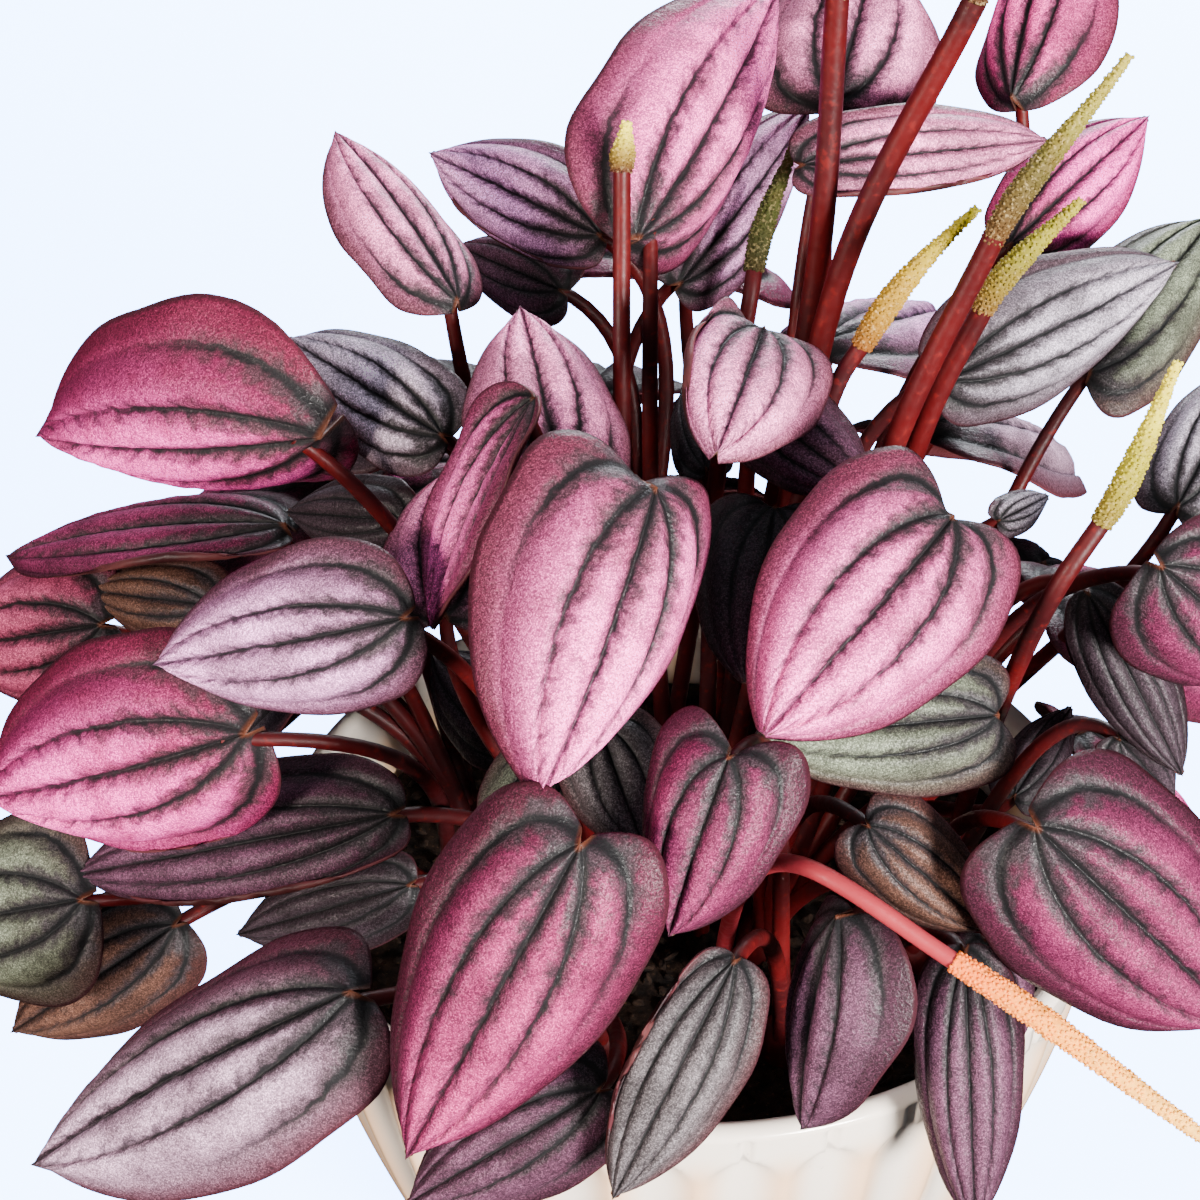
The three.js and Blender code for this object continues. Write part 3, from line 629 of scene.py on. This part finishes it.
for bearings, rise_base, rise_tip, base_at, tip_at in BACK_TIERS:
    for i, bearing in enumerate(bearings):
        swing = 3.5 * math.sin(2.4 * len(leaves))
        step = BACK_STAGGER * (i % 2)
        base = around_bush(bearing, rise_base + swing, base_at + step)
        tip = around_bush(bearing + swing, rise_tip + 0.5 * swing, tip_at + step)
        leaves.append({
            **LEAF_SHAPE, "roll": 2 * swing, "base": base, "tip": tip,
            "facing": 0.5 * (base + tip) - BUSH_MIDDLE, "phase": 1.7 * len(leaves),
            "tint": BACK_TINTS[len(leaves) % len(BACK_TINTS)],
        })

# Crowns: how many stand on a ring, how far out it lies and where its first one stands
CROWN_RINGS = ((1, 0, 0), (4, 15, 45), (8, 34, 22.5))
CROWN_HEIGHTS = (-12, -4, 0, 2.5, 4.5, 6)
CROWN_GIRTHS = (3.8, 3.9, 3.9, 3.6, 2.8, 1.4)
CROWN_REACH = 0.42
crowns = []
for count, ring, first_at in CROWN_RINGS:
    for i in range(count):
        angle = math.radians(first_at + 360 * i / count)
        crowns.append((ring * math.cos(angle), ring * math.sin(angle)))
stems = [[] for crown in crowns]
for placed in leaves:
    placed["frame"] = blade_frame(placed)
    home = placed["crown"]
    if home is None:
        away = [math.dist(CROWN_REACH * placed["base"][:2], crown) for crown in crowns]
        home = away.index(min(away))
    stems[home].append(placed)

LEAF_STALK_GIRTH = 1.12
STALK_STEPS = 26
SEAT_ALONG = 0.09
SEAT_DROP = 1.15


def stalk_line(leaf, crown):
    # From the crown up and out, arriving under the blade near its base
    forward, up, right, length = leaf["frame"]
    seat = blade_point(leaf, np.array(0.0), np.array(SEAT_ALONG), fine=False) - SEAT_DROP * up
    outward = unit(np.array([leaf["base"][0] - crown[0], leaf["base"][1] - crown[1], 0]))
    foot = np.array([*crown, SOIL_TOP + 2]) + 1.5 * outward
    reach = np.linalg.norm(seat - foot)
    rise = foot + 0.1 * reach * outward + np.array([0, 0, leaf["rise"] * reach])
    arrive = unit(0.55 * forward + 0.75 * up)
    approach = seat - leaf["reach"] * reach * arrive
    if leaf["start"] is not None:
        approach = seen(leaf["start"], leaf["start_near"])
    along = np.linspace(0, 1, STALK_STEPS)[:, None]
    return bezier(along, foot, rise, approach, seat)


def strands(name, lines):
    # One mesh of open lines, each with its own girths
    points, edges, girths = [], [], []
    for line, girth in lines:
        edges += [(len(points) + i, len(points) + i + 1) for i in range(len(line) - 1)]
        points += list(line)
        girths += list(girth)
    piece = piece_of(name, points, [], edges)
    carry(piece, "girth", np.array(girths) * MM)
    return piece


# Any stalk: a smooth round skin along its line
skin, size = new_tree("stalk_skin", {"Sides": "Int", "Finish": "Material"})
girth = put(skin, "GeometryNodeInputNamedAttribute", {"Name": "girth"}, data_type="FLOAT").outputs[0]
line = put(skin, "GeometryNodeMeshToCurve", {0: size["Geometry"]}).outputs[0]
ring = put(skin, "GeometryNodeCurvePrimitiveCircle", {"Resolution": size["Sides"], "Radius": 1.0})
tube = put(skin, "GeometryNodeCurveToMesh", {
    "Curve": line, "Profile Curve": ring.outputs[0], "Scale": girth, "Fill Caps": True,
}).outputs[0]
tube = put(skin, "GeometryNodeSetShadeSmooth", {"Geometry": tube}).outputs[0]
tube = put(skin, "GeometryNodeSetMaterial", {0: tube, "Material": size["Finish"]}).outputs[0]
tube = put(skin, "GeometryNodeRealizeInstances", {0: tube}).outputs[0]
put(skin, "NodeGroupOutput", {0: tube})

# Upper face: sunken charcoal veins with feathered grey-green banks, grainy pink panels with painted
# glints, darker rim, and painted shade over one side
leaf_face, tree, shader, place = new_finish("leaf_upper_face", Specular_IOR_Level=0.12)
spot = put(tree, "ShaderNodeAttribute", attribute_name="spot")
across, along, span = put(tree, "ShaderNodeSeparateXYZ", {0: spot.outputs["Vector"]}).outputs
panel, pale, rim = (put(tree, "ShaderNodeAttribute", attribute_name=tint).outputs["Color"]
                    for tint in ("panel", "pale", "rim"))
grain = speckle(tree, place, 2600.0, 2.0, 0.6)
cloud = speckle(tree, place, 95.0, 2.0, 0.6)
mottle = speckle(tree, place, 420.0, 2.0, 0.6)
waver = sum_of(tree, "MULTIPLY_ADD", speckle(tree, place, 330.0, 2.0, 0.65), 0.09, -0.045)
away = sum_of(tree, "ABSOLUTE", sum_of(tree, "ADD", across, waver))
thin = sum_of(tree, "MULTIPLY_ADD", along, -0.55, 1.0)


def from_vein(tree, vein, away, span, thin):
    # Gap to the vein as a share of half the blade, counted wider where the vein has thinned
    gap = sum_of(tree, "ABSOLUTE", sum_of(tree, "SUBTRACT", away, vein))
    return sum_of(tree, "DIVIDE", sum_of(tree, "MULTIPLY", gap, span), thin)


def strongest(tree, parts):
    most = parts[0]
    for part in parts[1:]:
        most = sum_of(tree, "MAXIMUM", most, part)
    return most


# The dark line of each vein: its width, where along the blade it fades, and what is left of it
VEIN_LINES = ((0.034, 0.6, 1.0, 0.7), (0.027, 0.5, 0.9, 0.3), (0.02, 0.3, 0.72, 0.08))
lines, banks = [], []
for vein, (width, fade_from, fade_to, left) in zip(VEINS, VEIN_LINES):
    gap = from_vein(tree, vein, away, span, thin)
    holds = ramp(tree, along, fade_from, fade_to, 1.0, left)
    line = ramp(tree, gap, 0.4 * width, 1.7 * width, 1.0, 0.0)
    lines.append(sum_of(tree, "MULTIPLY", line, holds))
    rough = sum_of(tree, "MULTIPLY_ADD", mottle, 0.2, sum_of(tree, "SUBTRACT", gap, 0.1))
    bank = ramp(tree, rough, 1.0 * width, 5.2 * width, 1.0, 0.0)
    banks.append(sum_of(tree, "MULTIPLY", bank, holds))
line, bank = strongest(tree, lines), strongest(tree, banks)
bank = sum_of(tree, "MULTIPLY", bank, ramp(tree, along, 0.05, 0.75, 1.0, 0.35))

panel_light = sum_of(tree, "SUBTRACT", 1.0, bank)
panel_light = sum_of(tree, "MULTIPLY", panel_light, ramp(tree, cloud, 0.3, 0.62, 0.3, 1.0))
reach = sum_of(tree, "ADD", along, sum_of(tree, "MULTIPLY_ADD", cloud, 0.3, -0.15))
panel_light = sum_of(tree, "MULTIPLY", panel_light, ramp(tree, reach, 0.0, 0.55, 0.3, 1.0))
color = mix(tree, panel_light, panel, pale)
color = mix(tree, ramp(tree, mottle, 0.5, 0.75, 0.0, 0.4), color, panel)
toward_rim = sum_of(tree, "ADD", away, sum_of(tree, "MULTIPLY_ADD", cloud, 0.3, -0.15))
color = mix(tree, ramp(tree, toward_rim, 0.52, 1.0, 0.0, 0.95), color, rim)
# Painted shade: the side of the blade set by the leaf's shade turns towards the rim tint
painted_side_shade = put(tree, "ShaderNodeAttribute", attribute_name="painted_side_shade").outputs["Fac"]
painted_side_shade = sum_of(tree, "ADD", painted_side_shade, sum_of(tree, "MULTIPLY_ADD", cloud, 0.4, -0.2))
color = mix(tree, ramp(tree, painted_side_shade, 0.08, 0.75, 0.0, 0.85), color, rim)
color = mix(tree, sum_of(tree, "MULTIPLY", bank, 0.8), color, linear("#302c2f"))
barb = sum_of(tree, "MULTIPLY_ADD", along, 13.0, sum_of(tree, "MULTIPLY", away, -6.0))
barb = sum_of(tree, "SINE", sum_of(tree, "MULTIPLY", sum_of(tree, "ADD", barb, mottle), 2 * math.pi))
inner_gaps = [from_vein(tree, vein, away, span, thin) for vein in VEINS[:2]]
inner_gap = sum_of(tree, "MINIMUM", *inner_gaps)
barb = sum_of(tree, "MULTIPLY", ramp(tree, barb, 0.1, 1.0), ramp(tree, inner_gap, 0.03, 0.2, 0.62, 0.0))
color = mix(tree, barb, color, linear("#262024"))
# Fine grain darkens and lightens the colour, and painted glints, bright flecks in the colour, stand in
# for sparkle
glint = speckle(tree, place, 5200.0, 1.0)
painted_glints = ramp(tree, glint, 0.5, 0.72, 0.0, 1.2)
grain_and_painted_glints = sum_of(tree, "ADD", ramp(tree, grain, 0.3, 0.66, 0.5, 1.15), painted_glints)
gray = put(tree, "ShaderNodeCombineColor", {0: grain_and_painted_glints, 1: grain_and_painted_glints, 2: grain_and_painted_glints}).outputs[0]
color = mix(tree, 1.0, color, gray, "MULTIPLY")
line = sum_of(tree, "MULTIPLY", line, 0.94)
color = mix(tree, line, color, linear("#151617"))
heart = ramp(tree, along, 0.01, 0.03, 0.6, 0.0)
color = mix(tree, heart, color, linear("#5d301d"))
edge = ramp(tree, sum_of(tree, "ABSOLUTE", across), 0.965, 0.99, 0.0, 0.7)
color = mix(tree, edge, color, linear("#3b1a21"))
tree.links.new(color, shader.inputs["Base Color"])
tree.links.new(ramp(tree, grain, 0.35, 0.65, 0.55, 0.3), shader.inputs["Roughness"])
relief = sum_of(tree, "ADD", sum_of(tree, "MULTIPLY", grain, 0.3), sum_of(tree, "MULTIPLY", mottle, 0.6))
emboss(tree, shader, relief, 0.0007, 0.6)

# Underside and rim: dark wine red, browner at the veins and redder at the very rim
leaf_under, tree, shader, place = new_finish("leaf_underside", Specular_IOR_Level=0.15)
spot = put(tree, "ShaderNodeAttribute", attribute_name="spot")
across, along, span = put(tree, "ShaderNodeSeparateXYZ", {0: spot.outputs["Vector"]}).outputs
away = sum_of(tree, "ABSOLUTE", across)
thin = sum_of(tree, "MULTIPLY_ADD", along, -VEIN_THINNING, 1.0)
inner_gaps = [from_vein(tree, vein, away, span, thin) for vein in VEINS[:2]]
gap = sum_of(tree, "MINIMUM", *inner_gaps)
flush = speckle(tree, place, 120.0, 3.0)
color = mix(tree, ramp(tree, flush, 0.35, 0.7), linear("#331719"), linear("#562a2b"))
color = mix(tree, ramp(tree, gap, 0.02, 0.06, 0.7, 0.0), color, linear("#4f382e"))
color = mix(tree, ramp(tree, away, 0.9, 1.0, 0.0, 0.6), color, linear("#5b2e35"))
tree.links.new(color, shader.inputs["Base Color"])
tree.links.new(ramp(tree, flush, 0.3, 0.7, 0.38, 0.52), shader.inputs["Roughness"])
emboss(tree, shader, speckle(tree, place, 1400.0, 2.0), 0.0003, 0.4)

# Stalks: fleshy and satiny, deep red, with lighter streaks and a paler flush where they carry one
stalk_red, tree, shader, place = new_finish("red_stalk", Specular_IOR_Level=0.2)
flush = speckle(tree, place, 60.0, 3.0)
color = mix(tree, ramp(tree, flush, 0.35, 0.68), linear("#2e0b0e"), linear("#4e0a0c"))
streak = speckle(tree, place, 900.0, 2.0)
color = mix(tree, ramp(tree, streak, 0.55, 0.75, 0.0, 0.4), color, linear("#74140f"))
blush = put(tree, "ShaderNodeAttribute", attribute_name="blush").outputs["Fac"]
color = mix(tree, blush, color, mix(tree, flush, linear("#7f1923"), linear("#bf414c")))
tree.links.new(color, shader.inputs["Base Color"])
tree.links.new(ramp(tree, streak, 0.3, 0.7, 0.4, 0.55), shader.inputs["Roughness"])
emboss(tree, shader, streak, 0.0002, 0.35)

for number, (crown, stem) in enumerate(zip(crowns, stems), 1):
    node = f"leafy_stem_{number:02d}"
    points, fronts, backs, spots, painted_side_shade, tints = [], [], [], [], [], [[], [], []]
    for placed in stem:
        blade, front, back, spot = blade_mesh(placed)
        start = len(points)
        points += list(blade)
        fronts += [tuple(start + corner for corner in face) for face in front]
        backs += [tuple(start + corner for corner in face) for face in back]
        spots += list(spot)
        # Painted shade over one side of each blade, as much as its shade asks
        painted_side_shade += list(np.maximum(0, placed["shade"] * spot[:, 0]))
        for tint, layer in zip(LEAF_TINTS[placed["tint"]], tints):
            layer += [linear(tint)] * len(blade)
    blades = piece_of(node + "_blades", points, fronts + backs)
    blades.data.materials.append(leaf_face)
    blades.data.materials.append(leaf_under)
    blades.data.polygons.foreach_set("material_index", [0] * len(fronts) + [1] * len(backs))
    carry(blades, "spot", spots)
    carry(blades, "painted_side_shade", painted_side_shade)
    for name, layer in zip(("panel", "pale", "rim"), tints):
        carry(blades, name, layer)
    crown_line = [(*crown, SOIL_TOP + height) for height in CROWN_HEIGHTS]
    lines = [(np.array(crown_line), CROWN_GIRTHS)]
    up_stalk = np.linspace(0, 1, STALK_STEPS)
    girths = LEAF_STALK_GIRTH + 0.35 * up_stalk[::-1] ** 4 - 0.2 * up_stalk ** 6
    lines += [(stalk_line(placed, crown), girths) for placed in stem]
    stalks = strands(node + "_stalks", lines)
    grow(stalks, skin, {"Sides": 12, "Finish": stalk_red})
    for piece in (blades, stalks):
        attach(piece, "root")
        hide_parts(node)

# Flower stalks: nine smooth red stems, each standing in its own hole in the peat.
# They taper a little towards the flower spike on top. Below is each stalk's foot on the peat,
# its middle and its top, then its spike's bend and tip, with how near to the viewer they stand.
FLOWERS = [
    ((-8, 0), ((622, 380), 44), ((622, 165), 50), ((624, 150), 51), ((627, 122), 52)),
    ((3, 7.5), ((815, 285), 40), ((838, -10), 62), ((846, -90), 66), ((850, -170), 66)),
    ((8.5, 2.5), ((835, 290), 46), ((975, 0), 70), ((1020, -90), 72), ((1075, -180), 72)),
    ((8, -3.5), ((900, 430), 56), ((995, 235), 72), ((1055, 155), 76), ((1130, 55), 78)),
    ((2, -8), ((835, 390), 56), ((865, 340), 60), ((905, 275), 64), ((978, 208), 66)),
    ((16, -1), ((925, 425), 50), ((985, 305), 60), ((1030, 250), 64), ((1082, 200), 66)),
    ((38, -1), ((1050, 600), 70), ((1105, 518), 74), ((1145, 440), 76), ((1178, 362), 78)),
    ((-3, 18), ((750, 300), 20), ((755, 265), 20), ((770, 205), 20), ((795, 145), 20)),
    ((4, -22), ((800, 865), 72), ((960, 965), 76), ((1080, 1050), 78), ((1290, 1200), 80)),
]
STALK_GIRTHS = (1.2, 1.6, 1.65, 1.5, 1.15, 1.4, 1.25, 1.2, 1.15)
STALK_BLUSH = (0, 0, 0, 0, 0, 0, 0, 0.1, 0.8)
FLOWER_DEPTH = 8
STALK_TOP_GAP = 0.35
KNOT_STEPS = 14
SPIKE_STEPS = 30


def catmull_rom(knots, steps):
    # Centripetal spline through the knots, and the way that it heads at its end
    first = 2 * knots[0] - knots[1]
    final = 2 * knots[-1] - knots[-2]
    knots = [first, *knots, final]
    line = []
    for p0, p1, p2, p3 in zip(knots, knots[1:], knots[2:], knots[3:]):
        gaps = [math.sqrt(max(np.linalg.norm(b - a), 1e-4)) for a, b in ((p0, p1), (p1, p2), (p2, p3))]
        leave = (p1 - p0) / gaps[0] - (p2 - p0) / (gaps[0] + gaps[1]) + (p2 - p1) / gaps[1]
        enter = (p2 - p1) / gaps[1] - (p3 - p1) / (gaps[1] + gaps[2]) + (p3 - p2) / gaps[2]
        leave, enter = leave * gaps[1] / 3, enter * gaps[1] / 3
        for along in np.linspace(0, 1, steps, endpoint=False):
            line.append(bezier(along, p1, p1 + leave, p2 - enter, p2))
    return np.array([*line, knots[-2]]), unit(enter)


spike_lines = []
for number, (foot, low, high, bend, end) in enumerate(FLOWERS, 1):
    low, high, bend, end = (seen(*knot) for knot in (low, high, bend, end))
    knots = [np.array([*foot, SOIL_TOP - FLOWER_DEPTH]), np.array([*foot, SOIL_TOP + 6]), low, high]
    line, onward = catmull_rom(knots, KNOT_STEPS)
    start = high + STALK_TOP_GAP * onward
    lead = start + 0.3 * np.linalg.norm(end - start) * onward
    along = np.linspace(0, 1, SPIKE_STEPS)[:, None]
    spike_lines.append(bezier(along, start - 1.2 * onward, lead, bend, end))
    girths = STALK_GIRTHS[number - 1] * np.linspace(1.08, 0.95, len(line))
    rod = strands(f"flower_stalk_{number}_skin", [(line, girths)])
    carry(rod, "blush", STALK_BLUSH[number - 1] * np.linspace(0.4, 1, len(line)))
    grow(rod, skin, {"Sides": 16, "Finish": stalk_red})
    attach(rod, "root")
    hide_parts(f"flower_stalk_{number}")

# Flower spikes: slim tails of hundreds of tiny cream and olive florets, packed like grain
# round a fleshy core that carries on from the top of the stalk and bends with it.
SPIKE_GIRTH = 1.7
FLORET_SPACING = 0.44
FLORET_RADIUS = 0.26
florets, size = new_tree("spike_florets", {
    "Spacing": "Float", "Floret": "Float", "Sides": "Int", "Finish": "Material",
})
girth = put(florets, "GeometryNodeInputNamedAttribute", {"Name": "girth"}, data_type="FLOAT").outputs[0]
line = put(florets, "GeometryNodeMeshToCurve", {0: size["Geometry"]}).outputs[0]
ring = put(florets, "GeometryNodeCurvePrimitiveCircle", {"Resolution": size["Sides"], "Radius": 1.0})
core = put(florets, "GeometryNodeCurveToMesh", {
    "Curve": line, "Profile Curve": ring.outputs[0], "Scale": girth, "Fill Caps": True,
}).outputs[0]
core = put(florets, "GeometryNodeSetShadeSmooth", {"Geometry": core}).outputs[0]
scatter = put(florets, "GeometryNodeDistributePointsOnFaces", {
    "Mesh": core, "Distance Min": size["Spacing"], "Density Max": 9e6, "Seed": 3,
}, distribute_method="POISSON")
bead = put(florets, "GeometryNodeMeshIcoSphere", {"Radius": size["Floret"], "Subdivisions": 1})
bead = put(florets, "GeometryNodeSetShadeSmooth", {"Geometry": bead.outputs[0]})
grade = put(florets, "FunctionNodeRandomValue", {2: 0.75, 3: 1.2, "Seed": 5}, data_type="FLOAT")
packed = put(florets, "GeometryNodeInstanceOnPoints", {
    "Points": scatter.outputs["Points"], "Instance": bead.outputs[0],
    "Rotation": scatter.outputs["Rotation"], "Scale": grade.outputs[1],
})
whole = put(florets, "GeometryNodeJoinGeometry")
florets.links.new(put(florets, "GeometryNodeRealizeInstances", {0: packed.outputs[0]}).outputs[0],
                  whole.inputs[0])
florets.links.new(core, whole.inputs[0])
whole = put(florets, "GeometryNodeSetMaterial", {0: whole.outputs[0], "Material": size["Finish"]})
put(florets, "NodeGroupOutput", {0: whole.outputs[0]})

floret_cream, tree, shader, place = new_finish("floret_grain", Roughness=0.7, Specular_IOR_Level=0.15)
patch = speckle(tree, place, 260.0, 3.0)
color = put(tree, "ShaderNodeAttribute", attribute_name="tint").outputs["Color"]
color = mix(tree, ramp(tree, patch, 0.45, 0.72, 0.0, 0.3), color, linear("#6a4a24"))
dust = speckle(tree, place, 2100.0, 2.0)
color = mix(tree, ramp(tree, dust, 0.5, 0.75, 0.0, 0.2), color, linear("#ffe2a0"))
tree.links.new(color, shader.inputs["Base Color"])
emboss(tree, shader, dust, 0.0002, 0.5)

# Each spike's colour at its foot, halfway and at its tip
SPIKE_TINTS = [
    ("#441f17", "#8d772a", "#f3e438"),
    ("#3f2017", "#5d4f24", "#9f9533"),
    ("#3f2017", "#5d4f24", "#9f9533"),
    ("#4a2f18", "#514a1f", "#9f9533"),
    ("#714113", "#a48217", "#978f17"),
    ("#6a4a1f", "#79711e", "#9e9620"),
    ("#6d5d1f", "#9e961a", "#f3e438"),
    ("#312f17", "#42461f", "#54562a"),
    ("#f06f11", "#ffa83a", "#ffc960"),
]
for number, (line, shades) in enumerate(zip(spike_lines, SPIKE_TINTS), 1):
    along = np.linspace(0, 1, len(line))
    belly = 0.78 + 0.3 * np.sin(math.pi * np.minimum(1, 1.1 * along))
    girths = SPIKE_GIRTH * belly * (1 - 0.55 * along ** 1.3) * np.where(along > 0.97, 0.75, 1)
    spike = strands(f"flower_spike_{number}_florets", [(line, girths)])
    foot_tint, middle_tint, tip_tint = (np.array(linear(shade)) for shade in shades)
    lower, upper = np.clip(2 * along, 0, 1)[:, None], np.clip(2 * along - 1, 0, 1)[:, None]
    tints = foot_tint + lower * (middle_tint - foot_tint) + upper * (tip_tint - middle_tint)
    carry(spike, "tint", tints)
    grow(spike, florets, {
        "Spacing": FLORET_SPACING * MM, "Floret": FLORET_RADIUS * MM, "Sides": 14, "Finish": floret_cream,
    })
    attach(spike, "root")
    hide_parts(f"flower_spike_{number}")

# Studio: a plain pale floor that sweeps up all round far away, under soft light from a window
# at the front right, a fill at the front left and a cool light behind. The floor glows evenly,
# and neither lights nor mirrors in the plant, so the inside of the bush stays dark.
FLOOR_TOP = -0.2
FLOOR_THICKNESS = 24
FLOOR_REACH = 6200
BACKDROP_TOP = 5000
BACKDROP_THICKNESS = 20
SWEEP_RADIUS = 2000
below, face = FLOOR_TOP - FLOOR_THICKNESS, FLOOR_REACH - BACKDROP_THICKNESS
sweep = [(0, below), (FLOOR_REACH, below), (FLOOR_REACH, BACKDROP_TOP), (face, BACKDROP_TOP)]
for turn in np.linspace(0, math.pi / 2, 12):
    out = face - SWEEP_RADIUS + SWEEP_RADIUS * math.cos(turn)
    sweep.append((out, FLOOR_TOP + SWEEP_RADIUS - SWEEP_RADIUS * math.sin(turn)))
floor = piece_of("floor", *turned([*sweep, (0, FLOOR_TOP)], 96))
ground, tree, shader, place = new_finish("pale_floor", Roughness=0.9, Emission_Strength=13.0)
shader.inputs["Emission Color"].default_value = linear("#84b2ff")
cloud = speckle(tree, place, 0.8, 1.0)
tree.links.new(mix(tree, cloud, linear("#e9eef4"), linear("#eef3f9")), shader.inputs["Base Color"])
floor.data.materials.append(ground)
floor.visible_diffuse = False
floor.visible_glossy = False

world = bpy.data.worlds.new("studio")
world.use_nodes = True
sky = world.node_tree
facing = put(sky, "ShaderNodeTexCoord").outputs["Generated"]
height = put(sky, "ShaderNodeSeparateXYZ", {0: facing}).outputs[2]
dome = mix(sky, ramp(sky, height, -0.15, 0.45), linear("#101012"), linear("#eaf1fb"))
sky.links.new(dome, sky.nodes["Background"].inputs["Color"])
sky.nodes["Background"].inputs["Strength"].default_value = 0.6
bpy.context.scene.world = world


def soft_light(name, place, aim, width, power, tint):
    lamp = bpy.data.lights.new(name, "AREA")
    lamp.shape = "DISK"
    lamp.size = width
    lamp.energy = power
    lamp.color = linear(tint)[:3]
    light = bpy.data.objects.new(name, lamp)
    light.location = place
    away = np.array(place) - np.array(aim)
    light.rotation_euler = (math.atan2(math.hypot(*away[:2]), away[2]), 0, math.atan2(away[0], -away[1]))
    bpy.context.collection.objects.link(light)


soft_light("window", (0.6, -1.05, 0.42), (0, 0, 0.13), 0.36, 78.0, "#fffaf6")
soft_light("fill", (-0.95, -0.85, 0.45), (0, 0, 0.1), 0.4, 24.0, "#fff0e4")
soft_light("back", (0.2, 1.0, 0.6), (0, 0, 0.1), 0.6, 30.0, "#f4f7ff")
